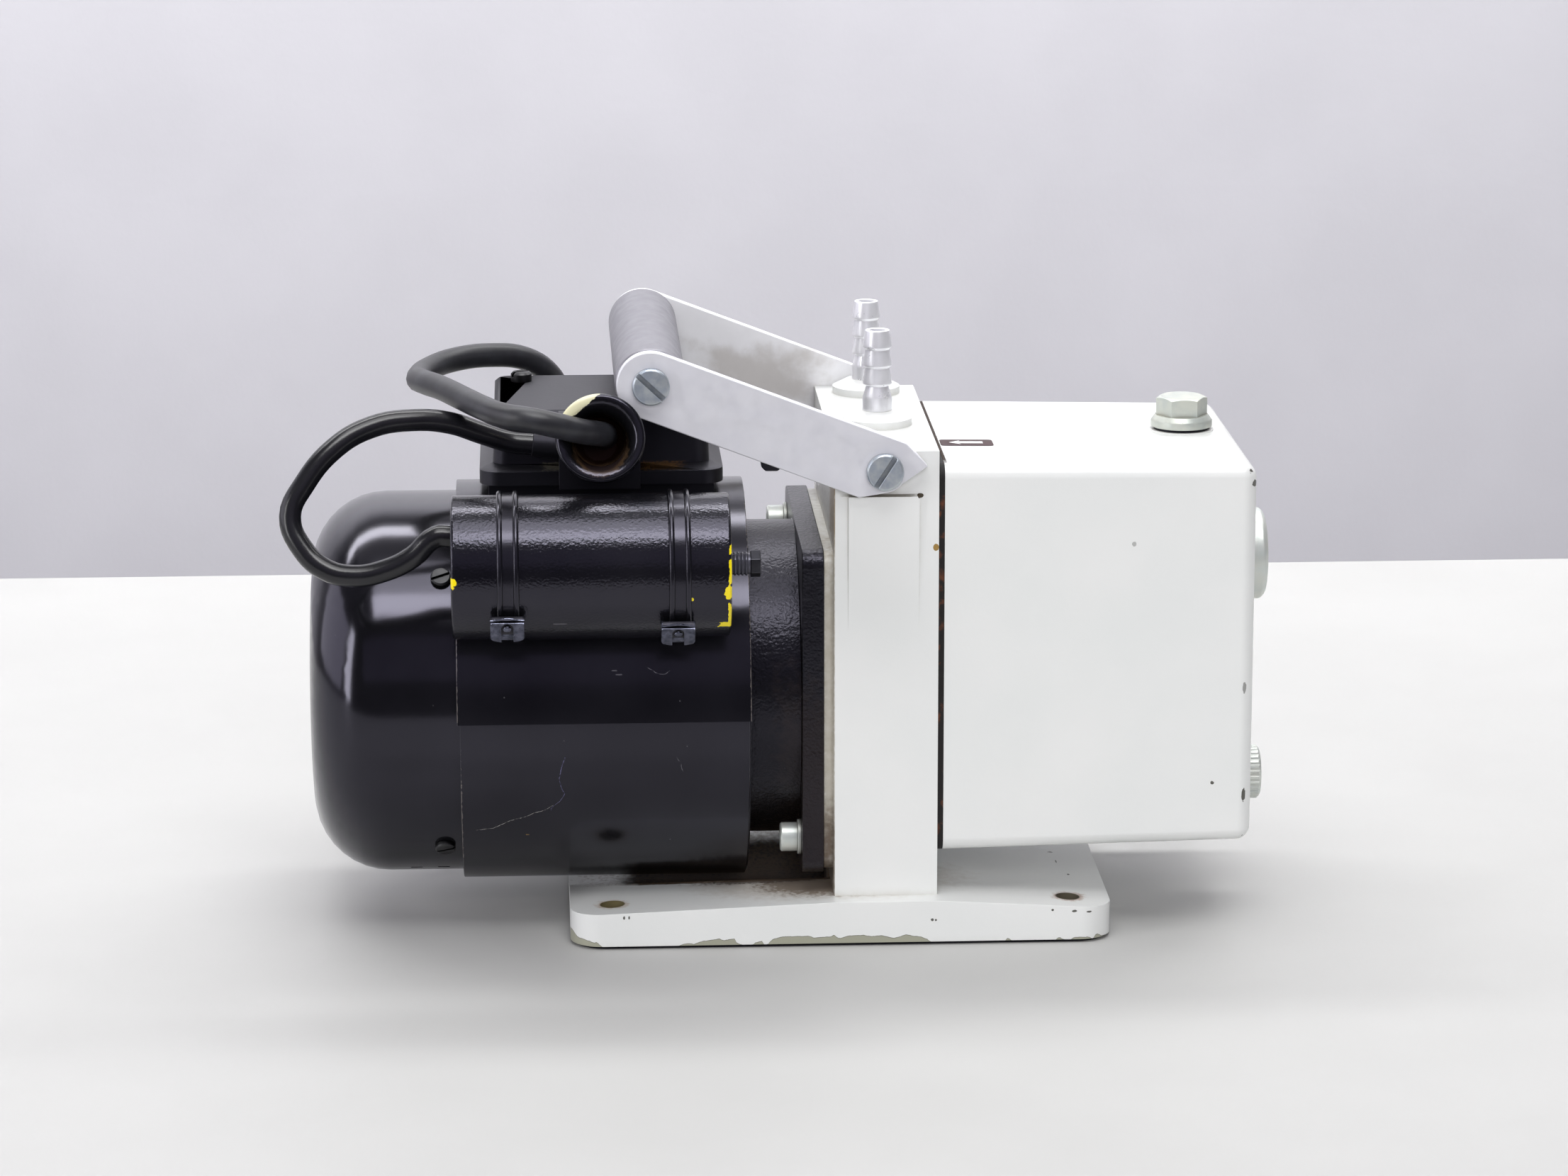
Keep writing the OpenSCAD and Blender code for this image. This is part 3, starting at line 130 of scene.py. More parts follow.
# 1 inside a ragged mark round a place, 0 outside: at, size (half widths) and grain are in mm
def markMask(tree, place, at, size, grain=3.0, ragged=0.8, soft=0.04, strength=1.0, oval=False):
    local = addNode(tree, "Mapping", {
        "Vector": place, "Location": [-a / s for a, s in zip(at, size)],
        "Scale": [1 / (s * mm) for s in size]})
    if oval:
        reach = addNode(tree, "VectorMath", {0: local}, 1, operation="LENGTH")
    else:
        near = addNode(tree, "VectorMath", {0: local}, operation="ABSOLUTE")
        axes = addNode(tree, "SeparateXYZ", {0: near}).node.outputs
        wide = addNode(tree, "Math", {0: axes[0], 1: axes[1]}, operation="MAXIMUM")
        reach = addNode(tree, "Math", {0: wide, 1: axes[2]}, operation="MAXIMUM")
    noise = addNode(tree, "TexNoise", {"Vector": place, "Scale": 1 / (grain * mm), "Detail": 4.0})
    edge = addNode(tree, "Math", {0: noise, 1: ragged, 2: reach}, operation="MULTIPLY_ADD")
    middle = 1 + ragged / 2  # the noise swings about a half
    return addNode(tree, "MapRange", {
        "Value": edge, "From Min": middle - soft, "From Max": middle + soft,
        "To Min": strength, "To Max": 0.0}, interpolation_type="SMOOTHSTEP")


# A matt mark turns these shader values towards the given ends
mattEnds = {"Roughness": 0.95, "Specular IOR Level": 0.03, "Coat Weight": 0.0}


# Marks change the colour; a matt one also takes the gloss away by its share
def paintMarks(tree, shader, place, colour, marks):
    dull = None
    for each in marks:
        facts = dict(each)
        tone, inside, matt = facts.pop("colour"), facts.pop("inside", None), facts.pop("matt", 0)
        mask = markMask(tree, place, **facts)
        if inside:
            mask = addNode(tree, "Math", {0: mask, 1: markMask(tree, place, **inside)},
                           operation="MULTIPLY")
        colour = addNode(tree, "Mix", {0: mask, 6: colour, 7: linear(tone)}, 2, data_type="RGBA")
        if matt:
            share = addNode(tree, "Math", {0: mask, 1: matt}, operation="MULTIPLY")
            dull = share if dull is None else addNode(
                tree, "Math", {0: dull, 1: share}, operation="MAXIMUM")
    if dull:
        for socket, end in mattEnds.items():
            level = addNode(tree, "MapRange", {
                "Value": dull, "To Min": shader.inputs[socket].default_value, "To Max": end})
            tree.links.new(level, shader.inputs[socket])
    return colour


# Height of an outline of (along, height) points in mm at the given place along it, in metres
def outlineHeight(tree, along, outline, tall):
    start, length = outline[0][0], outline[-1][0] - outline[0][0]
    share = addNode(tree, "MapRange", {
        "Value": along, "From Min": start * mm, "From Max": (start + length) * mm})
    heights = addNode(tree, "FloatCurve", {"Value": share})
    mapping = heights.node.mapping
    points = mapping.curves[0].points
    shares = [((x - start) / length, h / tall) for x, h in outline]
    points[0].location, points[1].location = shares[0], shares[-1]
    for spot in shares[1:-1]:
        points.new(*spot)
    for point in points:
        point.handle_type = "VECTOR"
    mapping.update()
    return addNode(tree, "Math", {0: heights, 1: tall * mm}, operation="MULTIPLY")


# Thin crooked scratches on the front: each runs along one axis and wanders on the other, in mm
scratchLook = {
    "shake": 0.9, "shakeSize": 1.1, "core": 0.4,  # the core is a share of the half width
    "worn": (0.44, 0.56), "faint": 0.1,  # noise levels between which a scratch wears away
    "tall": 40.0, "front": -64, "depth": 12, "end": {"grain": 1.5, "ragged": 0.5, "soft": 0.1},
}


def paintScratches(tree, place, colour, scratches, look=scratchLook):
    axes = addNode(tree, "SeparateXYZ", {0: place}).node.outputs
    shake = addNode(tree, "TexNoise", {"Vector": place, "Scale": 1 / (look["shakeSize"] * mm),
                    "Detail": 3.0})
    for facts in scratches:
        along, across = (0, 2) if facts["runs"] == "X" else (2, 0)
        base = min(h for a, h in facts["points"])
        outline = [(a, h - base) for a, h in facts["points"]]
        height = outlineHeight(tree, axes[along], outline, look["tall"])
        moved = addNode(tree, "Math", {0: shake, 1: look["shake"] * mm, 2: height},
                        operation="MULTIPLY_ADD")
        level = addNode(tree, "Math", {0: axes[across],
                        1: (base - look["shake"] / 2) * mm}, operation="SUBTRACT")
        gap = addNode(tree, "Math", {0: level, 1: moved}, operation="SUBTRACT")
        away = addNode(tree, "Math", {0: gap}, operation="ABSOLUTE")
        line = addNode(tree, "MapRange", {
            "Value": away, "From Min": facts["width"] * look["core"] * mm,
            "From Max": facts["width"] * mm, "To Min": facts["strength"], "To Max": 0.0})
        centre = [0, look["front"], 0]
        centre[along] = (outline[0][0] + outline[-1][0]) / 2
        centre[across] = base
        size = [look["tall"], look["depth"], look["tall"]]
        size[along] = (outline[-1][0] - outline[0][0]) / 2
        stretch = markMask(tree, place, centre, size, **look["end"])
        worn = addNode(tree, "MapRange", {
            "Value": shake, "From Min": look["worn"][0], "From Max": look["worn"][1],
            "To Min": 1.0, "To Max": look["faint"]})
        seen = addNode(tree, "Math", {0: line, 1: stretch}, operation="MULTIPLY")
        share = addNode(tree, "Math", {0: seen, 1: worn}, operation="MULTIPLY")
        colour = addNode(tree, "Mix", {0: share, 6: colour,
                         7: linear(facts["colour"])}, 2, data_type="RGBA")
    return colour


# Where the base's enamel has chipped off: along the front (X) against height, in mm
baseChips = {
    "underside": 1.2, "tall": 6.0, "sink": 0.2, "front": -53.0, "frontFade": 3,
    "wobble": 0.4, "wobbleSize": 0.9, "edge": 0.05, "rimWidth": (0.12, 0.3),
    "bare": "#9C9C8B", "rim": "#67675C",
    "outline": [
        (-93, 4.4), (-92.2, 4.4), (-90.6, 2.5), (-88.9, 2.5), (-86.5, 1.9), (-84.8, 1.4),
        (-84, 1.9), (-83.1, 0.7), (-82.4, 0), (-55.7, 0), (-55, 0.6), (-52.2, 0.85),
        (-50.7, 0.5), (-48.8, 1.4), (-42, 2.4), (-41.2, 1.7), (-36.9, 2.3), (-36.6, 1.0),
        (-34.5, 0), (-30.8, 0), (-29.7, 0.8), (-27.5, 1.3), (-27.2, 0), (-25.6, 0),
        (-24.3, 1.7), (-20.9, 2.7), (-11.3, 2.8), (-10, 2.1), (-3.8, 2.5), (-3, 3.1),
        (-1.1, 1.6), (1.6, 2.6), (7.1, 2.8), (10.2, 2.3), (13.3, 2.6), (17.7, 1.5), (22, 2.8),
        (24.5, 2.1), (26.4, 2.1), (29.5, 0.8), (30, 0), (56.2, 0), (56.5, 0.9), (57.3, 0.8),
        (57.8, 0), (73.6, 0), (73.9, 0.8), (75.4, 0.7), (75.7, 0), (79, 0), (79.3, 0.8),
        (84.9, 0.8), (85.4, 0), (86.7, 0.2), (87, 1.3), (88.5, 1.3), (88.9, 0.4), (93, 0)],
}


def chipEdge(tree, place, colour, chips):
    axes = addNode(tree, "SeparateXYZ", {0: place}).node.outputs
    wobble = addNode(tree, "TexNoise", {"Vector": place, "Scale": 1 / (chips["wobbleSize"] * mm),
                     "Detail": 3.0})
    height = outlineHeight(tree, axes[0], chips["outline"], chips["tall"])
    line = addNode(tree, "Math", {0: height, 1: (chips["underside"] - chips["sink"]) * mm},
                   operation="ADD")
    ragged = addNode(tree, "Math", {0: wobble, 1: chips["wobble"] * mm,
                     2: line}, operation="MULTIPLY_ADD")
    below = addNode(tree, "Math", {0: ragged, 1: axes[2]}, operation="SUBTRACT")
    bare = addNode(tree, "MapRange", {"Value": below, "From Min": 0.0,
                   "From Max": chips["edge"] * mm})
    deep = addNode(tree, "MapRange", {"Value": below,
                   "From Min": chips["rimWidth"][0] * mm, "From Max": chips["rimWidth"][1] * mm})
    front = addNode(tree, "MapRange", {
        "Value": axes[1], "From Min": (chips["front"] - chips["frontFade"]) * mm,
        "From Max": chips["front"] * mm, "To Min": 1.0, "To Max": 0.0})
    shown = addNode(tree, "Math", {0: bare, 1: front}, operation="MULTIPLY")
    metal = addNode(tree, "Mix", {0: deep, 6: linear(chips["rim"]),
                    7: linear(chips["bare"])}, 2, data_type="RGBA")
    return addNode(tree, "Mix", {0: shown, 6: colour, 7: metal}, 2, data_type="RGBA")


# Grime and painted shade in hollows: reach and patch size in mm, raggedness, levels of shade where
# it starts and ends
whiteGrimeAndHollowShade = {"reach": 5, "patch": 4, "ragged": 0.35, "levels": (0.35, 0.9), "colour": "#9C9580"}
metalGrimeAndHollowShade = {"reach": 2, "patch": 4, "ragged": 0.0, "levels": (0.3, 0.9), "strength": 0.8}
# Dust motes: spacing in mm and dot sizes as shares of it
motes = {"spacing": 9, "dot": (0.02, 0.035), "colour": "#7A7A7C"}
# A metal's polish varies in patches: size in mm, noise levels and shares of the roughness
polish = {"patch": 5, "levels": (0.3, 0.7), "shares": (0.85, 1.2)}


# Tints and darkens the hollows that ambient occlusion finds: part grime, part painted shade in
# corners and creases
def layGrimeAndHollowShade(tree, place, colour, facts):
    hollow = addNode(tree, "AmbientOcclusion", {"Distance": facts["reach"] * mm}, "AO", samples=6)
    patchy = addNode(tree, "TexNoise", {"Vector": place, "Scale": 1 / (facts["patch"] * mm),
                     "Detail": 4.0})
    deep = addNode(tree, "Math", {0: patchy, 1: facts["ragged"], 2: hollow},
                   operation="MULTIPLY_ADD")
    share = addNode(tree, "MapRange", {
        "Value": deep, "From Min": facts["levels"][0], "From Max": facts["levels"][1],
        "To Min": facts["strength"], "To Max": 0.0})
    return addNode(tree, "Mix", {0: share, 6: colour, 7: linear(facts["colour"])}, 2,
                   data_type="RGBA")


def layDust(tree, place, colour, strength):
    spots = addNode(tree, "TexVoronoi", {"Vector": place, "Scale": 1 / (motes["spacing"] * mm)})
    dot = addNode(tree, "MapRange", {"Value": spots, "From Min": motes["dot"][0],
                  "From Max": motes["dot"][1], "To Min": strength, "To Max": 0.0})
    return addNode(tree, "Mix", {0: dot, 6: colour, 7: linear(motes["colour"])}, 2,
                   data_type="RGBA")


# Two tones that drift, then layers of dirt, wear and painted shade in hollows over them, and a
# grain
def makeFinish(name, tones, roughness, drift, grains, stretch=(1, 1, 1), grime=None, dust=0,
               marks=(), chips=None, scratches=(), patchy=False, **more):
    material = bpy.data.materials.new(name)
    material.use_nodes = True
    tree = material.node_tree
    shader = tree.nodes["Principled BSDF"]
    shader.inputs["Roughness"].default_value = roughness
    for socket, value in more.items():
        shader.inputs[socket.replace("_", " ")].default_value = value
    place = addNode(tree, "TexCoord", give="Object")
    colour = driftColour(tree, place, tones, *drift)
    if grime:
        colour = layGrimeAndHollowShade(tree, place, colour, grime)
    if dust:
        colour = layDust(tree, place, colour, dust)
    colour = paintMarks(tree, shader, place, colour, marks)
    if chips:
        colour = chipEdge(tree, place, colour, chips)
    colour = paintScratches(tree, place, colour, scratches)
    tree.links.new(colour, shader.inputs["Base Color"])
    if patchy:
        patches = addNode(tree, "TexNoise", {
            "Vector": place, "Scale": 1 / (polish["patch"] * mm), "Detail": 3.0})
        low, high = (roughness * share for share in polish["shares"])
        gloss = addNode(tree, "MapRange", {
            "Value": patches, "From Min": polish["levels"][0], "From Max": polish["levels"][1],
            "To Min": low, "To Max": high})
        tree.links.new(gloss, shader.inputs["Roughness"])
    addGrain(tree, shader, place, grains, stretch)
    return material


# Baked enamel over an iron casting: bright, half gloss, with the soft lumps of sprayed paint
# Its grime share also paints shade into the hollows
def makeWhite(name, marks, grime=0.5, chips=None):
    return makeFinish(name, ("#DFE1DF", "#E3E4E2"), 0.36, (45,), [(9, 0.05), (1.6, 0.03)],
                      grime={**whiteGrimeAndHollowShade, "strength": grime}, marks=marks, chips=chips,
                      Coat_Weight=0.15, Coat_Roughness=0.2)


# Gloss enamel, moulded plastic and rubber: near black, mirrors the lights through a fine peel
def makeBlack(name, colour, roughness, grains, index=1.55, **layers):
    return makeFinish(name, (colour, "#111114"), roughness, (30,), grains, IOR=index,
                      Specular_Tint=linear("#E6E3FA"), **layers)


# Bare and plated metals: the colour is the metal's own mirror tint, with a fine worn grain
# The grime colour tints the hollows: grime and painted shade
def makeMetal(name, tones, roughness, grains, stretch=(1, 1, 1), grime=None, metal=1.0, drift=6,
              marks=()):
    return makeFinish(name, tones, roughness, (drift, 4.0), grains, stretch, marks=marks,
                      grime=grime and {**metalGrimeAndHollowShade, "colour": grime}, patchy=True, Metallic=metal)


# One mark: its place and half widths, colour, grain, raggedness, softness and strength
def mark(at, size, colour, grain=3.0, ragged=0.8, soft=0.04, strength=1.0, **more):
    return {"at": at, "size": size, "colour": colour, "grain": grain, "ragged": ragged,
            "soft": soft, "strength": strength, **more}


# Single specks of dirt: rows of place, half widths and strength
def specks(*rows):
    return [mark(at, size, "#55544E", 0.8, 0.9, strength=strength, oval=True)
            for at, size, strength in rows]


troughWall = ((-30, 0, 79.4), (2000, 74.4, 74.4))
troughPatch = {"at": (-35, -15, 8), "size": (38, 43, 20)}
baseMarks = [
    # the trough under the motor painted near black and matt, as oily dirt and painted shade, with
    # brown dust
    mark(*troughWall, "#1E1813", 6, 0.012, 0.003, 0.97, oval=True, matt=0.93,
         inside={**troughPatch, "grain": 5, "ragged": 0.25, "soft": 0.1}),
    mark(*troughWall, "#6B5846", 6, 0.012, 0.003, 0.5, oval=True,
         inside={**troughPatch, "grain": 1.3, "ragged": 3.4, "soft": 0.6}),
    # oil and dust at the foot of the block, and a darker band along the trough's front edge
    mark((-4, -36, 15), (44, 24, 9), "#A59684", 3, 0.5, 0.3, 0.5, oval=True, matt=0.3),
    mark((-3, -40, 15), (25, 17, 8), "#6B5A49", 1.6, 1.0, 0.25, 0.8, oval=True, matt=0.6),
    mark((-20, -36, 14.5), (27, 3.4, 4), "#4A3D33", 1.6, 1.3, 0.3, 0.8, oval=True, matt=0.8),
    # rusty rims and walls of the bolt holes
    mark((-78.6, -55.2, 12), (5.1, 4.9, 6), "#A08058", 1.5, 0.9, 0.35, 0.6, oval=True),
    mark((78.8, -55.2, 12), (5.3, 4.9, 6), "#8A5A30", 1.5, 0.9, 0.35, 0.75, oval=True),
    mark((-78.5, -55, 4), (4.4, 4.4, 40), "#6A6145", 2, 0.04, 0.03, oval=True),
    mark((78.5, -55, 4), (4.4, 4.4, 40), "#5D574A", 2, 0.04, 0.03, oval=True),
] + specks(
    ((-42.8, -35.8, 14.2), (0.5, 0.9, 1), 1), ((-74.7, -67, 11.4), (0.35, 1, 0.6), 1),
    ((-73, -67, 11.4), (0.3, 1, 0.6), 1), ((30.8, -67, 9), (0.5, 1, 0.5), 1),
    ((32, -67, 8.9), (0.4, 1, 0.4), 1), ((72.1, -67, 11.8), (0.5, 1, 0.4), 1),
    ((79.7, -67, 11.3), (0.9, 1, 0.4), 1), ((85, -67, 10.9), (1.1, 1, 0.35), 1),
    ((81.6, -28, 12.5), (0.5, 0.9, 1), 1), ((78.9, -12.3, 12.6), (0.3, 2.0, 1), 1),
    ((78, -0.5, 12.6), (1.2, 0.8, 1), 1))
leftFace = {"at": (-4.2, 0, 84), "size": (2.0, 70, 90), "grain": 30, "ragged": 0.05, "soft": 0.05}
blockMarks = [
    mark((-4, 0, 84), (4, 62, 76), "#8F8672", 2.5, 1.6, 0.9, 0.5, inside=leftFace, matt=0.5),
    mark((-4, -56, 84), (1.9, 5, 62), "#8A7A58", 1.3, 1.8, 0.5, 0.4, inside=leftFace),
    mark((-4, -50, 152), (4, 16, 13), "#7A6236", 2, 1.6, 0.5, 0.75, inside=leftFace),
    # the lower left face under the flange: brown dirt and painted shade
    mark((-4, -20, 22), (4, 50, 22), "#57483A", 2.2, 1.0, 0.5, 0.9, inside=leftFace, matt=0.6),
    # painted shadow of the gap under the arm along the stop ledge, deeper at the notch; a rust spot
    mark((13.5, -59.5, 156.2), (11.5, 3, 0.35), "#57503F", 2, 0.5, 0.3, 0.75),
    mark((26.6, -59.5, 156), (1.1, 3, 0.8), "#453D30", 1.5, 0.6, oval=True),
    mark((32, -59, 138), (1, 2, 1.2), "#9A7B3F", 2, 0.4, oval=True),
]
boxMarks = [
    # dark joint line along the top edge beside the block
    mark((34.9, 3, 167.1), (1.1, 56, 1.7), "#3B2F28", 2, 0.35, 0.1, matt=0.7),
] + specks(
    ((81, -57, 166), (1.6, 1.4, 1.2), 1), ((140, -57, 163), (1.6, 2, 1.6), 1),
    ((140.6, -55, 158), (1.2, 2, 1.2), 1), ((99.5, -57.5, 138), (0.8, 2, 0.8), 0.5),
    ((138.2, -57.5, 87), (0.7, 2, 2.0), 0.7), ((127.6, -57.5, 53.6), (0.6, 2, 0.6), 1),
    ((138.6, -57.5, 49), (0.8, 2, 2.4), 1), ((138.6, -57.5, 33.4), (0.7, 2, 1.4), 1))
whiteBase = makeWhite("whiteEnamelOnCastBase", baseMarks, chips=baseChips)
whiteBlock = makeWhite("whiteEnamelOnCastBlock", blockMarks)
whiteBox = makeWhite("whiteEnamelOnOilBox", boxMarks, grime=0.3)

thinScratch = {"colour": "#8C8A90", "grain": 1.2, "ragged": 0.9, "soft": 0.2, "strength": 0.3}
edgeWear = {"colour": "#8F8780", "grain": 1.1, "ragged": 5.0, "soft": 0.5, "strength": 0.35}
shellMarks = [
    mark((-75.8, -67.7, 97.3), (1.1, 3, 0.2), **thinScratch),
    mark((-77.3, -67.7, 98.6), (0.8, 3, 0.2), **thinScratch),
    mark((-107.3, -56.7, 38.3), (0.6, 3, 0.25), **{**thinScratch, "colour": "#A88A50"}),
    # enamel worn through on the two rims
    mark((-130.45, -55, 95), (0.2, 30, 34), **edgeWear),
    mark((-129.55, -55, 42), (0.2, 30, 16), **edgeWear),
    mark((-31.05, -55, 85), (0.2, 30, 42), **edgeWear),
]
shellScratches = [
    {"runs": "Z", "width": 0.19, "strength": 0.6, "colour": "#6E6C92",
     "points": [(49.5, -99), (50.4, -98.3), (52, -96.2), (55, -94.4), (57, -95.4),
                (60.5, -96.3), (64, -95.6), (66, -95.2), (68.7, -94.2)]},
    {"runs": "X", "width": 0.15, "strength": 0.75, "colour": "#A3A19C",
     "points": [(-124, 40.7), (-119, 41.4), (-113, 44.6), (-108, 46), (-105, 47.6),
                (-101.2, 48.7), (-98.5, 50.6)]},
    {"runs": "Z", "width": 0.16, "strength": 0.4, "colour": "#8C8A90",
     "points": [(63, -54.3), (66, -55), (68.5, -56.6)]},
    {"runs": "X", "width": 0.16, "strength": 0.4, "colour": "#8C8A90",
     "points": [(-66, 99.5), (-62.5, 97.4), (-60.6, 97.2), (-58.4, 98.4)]},
]
# drips of yellow paint on the can's ends: place, half widths, whether oval
yellowDrips = [
    ((-38.7, -98.7, 147.0), (0.8, 4, 1.4), False), ((-38.6, -100.5, 139.6), (1.0, 4, 3.8), False),
    ((-39.5, -100.3, 132.6), (1.6, 4, 2.3), True), ((-38.8, -96.5, 124.5), (1.0, 5, 4.0), False),
    ((-40.4, -93.5, 120.6), (2.4, 5, 0.9), False), ((-51.8, -99.7, 130.6), (0.5, 3, 0.6), True),
    ((-131, -100.6, 137.2), (1.5, 3, 1.8), True),
]
capacitorMarks = [mark(at, size, "#F2DC08", 1.3, 1.3, oval=oval)
                  for at, size, oval in yellowDrips] + [
    mark((-95.7, -95, 121.7), (2.2, 3, 0.2), **thinScratch),
    # painted highlight on the stud's thread, a lighter grey for its lit crests
    mark((-33.2, -76.7, 137.2), (5.2, 6, 6), "#4C4C54", 2, 0.4, 0.2, 0.8),
]
dryDust = {"grain": 0.8, "ragged": 2.2, "soft": 0.4}
trayMarks = [
    mark((-83, 0, 181.6), (60, 60, 0.9), "#343436", 3, 0.3, 0.2, 0.85, matt=0.3),
    mark((-60, -35.5, 162.5), (6, 2.2, 0.9), "#6E4E24", strength=0.45, **dryDust),
    mark((-97, -35.5, 162.5), (3, 2.2, 0.9), "#85806C", strength=0.3, **dryDust),
]
glandMarks = [
    # a crescent of cream paint on the rim, then the dark throat with its tan ring
    mark((-155, -31.5, 270.2), [111.9] * 3, "#DEDAB6", 1.8, 0.012, 0.001, oval=True,
         inside={"at": (-81.2, -119.1, 195.4), "size": [61.7] * 3, "grain": 2, "ragged": 0.002,
                 "soft": 0.001, "oval": True}),
    mark((-81.2, -62, 176.5), (10.2, 60, 9.9), "#0B0A0A", 3, 0.06, 0.02, oval=True),
    mark((-81.2, -60, 175.4), (9.3, 30, 9.3), "#6A523B", 1.5, 0.4, 0.1, 0.35, oval=True),
    mark((-81.2, -59, 175.9), (8.7, 30, 8.7), "#160B06", 3, 0.1, 0.05, oval=True, matt=0.5),
]
bellMarks = [mark((-8, -40, 50), (12, 30, 36), "#332A24", 3, 1.4, 0.4, 0.3)]
blackShell = makeBlack("blackEnamelOnRolledShell", "#08080A", 0.2, [(1.3, 0.012), (14, 0.04)],
                       marks=shellMarks, dust=0.35, scratches=shellScratches)
blackCap = makeBlack("blackEnamelOnPressedCap", "#080809", 0.15, [(2.2, 0.005), (20, 0.04)],
                     dust=0.2)
blackCan = makeBlack("blackEnamelOnCapacitor", "#08080C", 0.19, [(0.9, 0.115)],
                     marks=capacitorMarks, dust=0.3)
blackBell = makeBlack("blackEnamelOnCastIron", "#08080A", 0.29, [(3, 0.2), (1.0, 0.22)],
                      1.42, marks=bellMarks, dust=0.3)
blackTray = makeBlack("blackEnamelOnTerminalBox", "#09090B", 0.42, [(1.4, 0.03), (9, 0.04)],
                      1.5, marks=trayMarks, dust=0.3)
blackGland = makeBlack("blackMouldedGland", "#0B0B0D", 0.2, [(1.2, 0.02)], marks=glandMarks)
blackRubber = makeBlack("blackRubberBoot", "#0A0A0C", 0.5, [(0.8, 0.02)], 1.42)
blackPlastic = makeBlack("blackMouldedPlastic", "#131315", 0.4, [(0.8, 0.02)])
blackStrap = makeBlack("blackEnamelOnSteelStrap", "#0D0D11", 0.22, [(0.8, 0.02)])
matRubber = makeBlack("blackSheetRubber", "#060606", 0.8, [(0.8, 0.04)])

# Satin anodising is part mirror, part pale film, so the arms and barbs aren't fully metallic
anodisedArm = makeMetal(
    "satinAnodisedArm", ("#E2E2E8", "#E6E6EB"), 0.5, [(0.5, 0.006)], metal=0.45,
    marks=[mark((-30, 60, 178), (30, 3, 12), "#8F8678", 9, 1.4, 0.5, 0.3)])
# painted light: the rear arm is a paler, less metallic copy of the front arm's anodising, with a
# smudge
rearArmPaintedLighter = makeMetal(
    "satinAnodisedRearArmPaintedLighter", ("#F1F1F3", "#F4F4F6"), 0.5, [(0.5, 0.006)], metal=0.3,
    marks=[mark((-22, 60, 176), (20, 5, 9), "#8A7C66", 7, 1.6, 0.5, 0.4)])
anodisedGrip = makeMetal("greyAnodisedGrip", ("#87868C", "#8B8A90"), 0.42, [(0.5, 0.0012)],
                         (0.12, 1, 0.12), metal=0.7)
turnedAluminium = makeMetal("turnedAluminium", ("#EDEDF1", "#F2F2F5"), 0.32, [(0.35, 0.005)],
                            (0.1, 0.1, 1), metal=0.5)
# Zinc plate is dull and faintly green or blue, its corners darkened by grime and painted shade
zincPlate = makeMetal("zincPlatedSteel", ("#CDD3CF", "#D6D8D1"), 0.38, [(1.2, 0.01)],
                      grime="#3A352C", metal=0.45)
blueZinc = makeMetal("blueZincScrew", ("#AAB3BF", "#C4CACD"), 0.38, [(0.5, 0.012)],
                     grime="#2E2A25", metal=0.7, drift=2.6)
filledZinc = makeMetal("dullZincPlug", ("#BAC0BA", "#C8CBC1"), 0.4, [(1.5, 0.02)],
                       grime="#6E6450", metal=0.4)
# Oxide-black and bare steels mirror darkly
buckleSteel = makeMetal("bluedSteelBuckle", ("#4A4C58", "#6C6E7E"), 0.28, [(0.8, 0.02)],
                        grime="#0B0C10", drift=2)
darkScrew = makeMetal("blackenedSteelScrew", ("#3A3A3C", "#4A4A4B"), 0.4, [(1.0, 0.02)],
                      grime="#101010")
wornNut = makeMetal("wornBlackNut", ("#3A3A3F", "#4B4B50"), 0.38, [(1.0, 0.02)], grime="#101010")
coreSteel = makeMetal("sheetSteelCore", ("#6D6F73", "#7C7E80"), 0.45, [(0.5, 0.02)], (6, 1, 1))
castIron = makeMetal("machinedIron", ("#7A7A7A", "#8A8986"), 0.42, [(0.6, 0.02)])
enamelledCopper = makeMetal("enamelledCopperWire", ("#9C5A30", "#B26A38"), 0.35, [(0.8, 0.1)])
# Pressed fibre: brown-black, dry, with rust creeping out of the joint
gasketFibre = makeFinish("rustyFibreGasket", ("#120E0D", "#6E3B1E"), 0.7, (5, 5.0, 0.56, 0.74),
                        [(2, 0.15), (0.6, 0.05)])
# Rubber, PVC, printed film and resin: dull and softly scuffed
scuffed = {"drift": (12, 5.0, 0.4, 0.75), "grains": [(3, 0.03), (0.7, 0.012)]}
greyCord = makeFinish("greyRubberCord", ("#1E1E22", "#34353A"), 0.42, **scuffed)
blackCord = makeFinish("blackPvcLead", ("#101014", "#17171B"), 0.26, **scuffed)
brownPrint = makeFinish("brownPrintedLabel", ("#341819", "#3E1F20"), 0.6, **scuffed)
whitePrint = makeFinish("whitePrintedArrow", ("#EDEDED", "#F4F4F4"), 0.4, **scuffed)
vaneResin = makeFinish("vaneResin", ("#4E3C2C", "#5C4836"), 0.5, **scuffed)
# Clear moulded window with a tint of the oil behind it
oilWindow = makeFinish("clearOilWindow", ("#E4E6DC", "#D2C79E"), 0.06, (12,), [(8, 0.01)],
                      IOR=1.49, Transmission_Weight=0.7)
finishOf = {
    "white_paint": whiteBlock, "black_paint": blackShell, "black_casting": blackBell,
    "black_plastic": blackPlastic, "black_gloss": blackGland, "machined": turnedAluminium,
    "arm_plate": anodisedArm, "grip_metal": anodisedGrip, "zinc": zincPlate,
    "dark_screw": darkScrew, "strap_steel": blackStrap, "ring_metal": zincPlate,
    "mat_rubber": matRubber, "seal_rubber": blackRubber, "gasket_fibre": gasketFibre,
    "cord_grey": greyCord, "cord_black": blackCord, "window": oilWindow, "core_steel": coreSteel,
    "copper": enamelledCopper, "iron": castIron, "vane_resin": vaneResin,
}
for name, obj in nodes.items():
    obj.data.materials.clear()
    obj.data.materials.append(finishOf[slotOf[name]])
print("materials made")


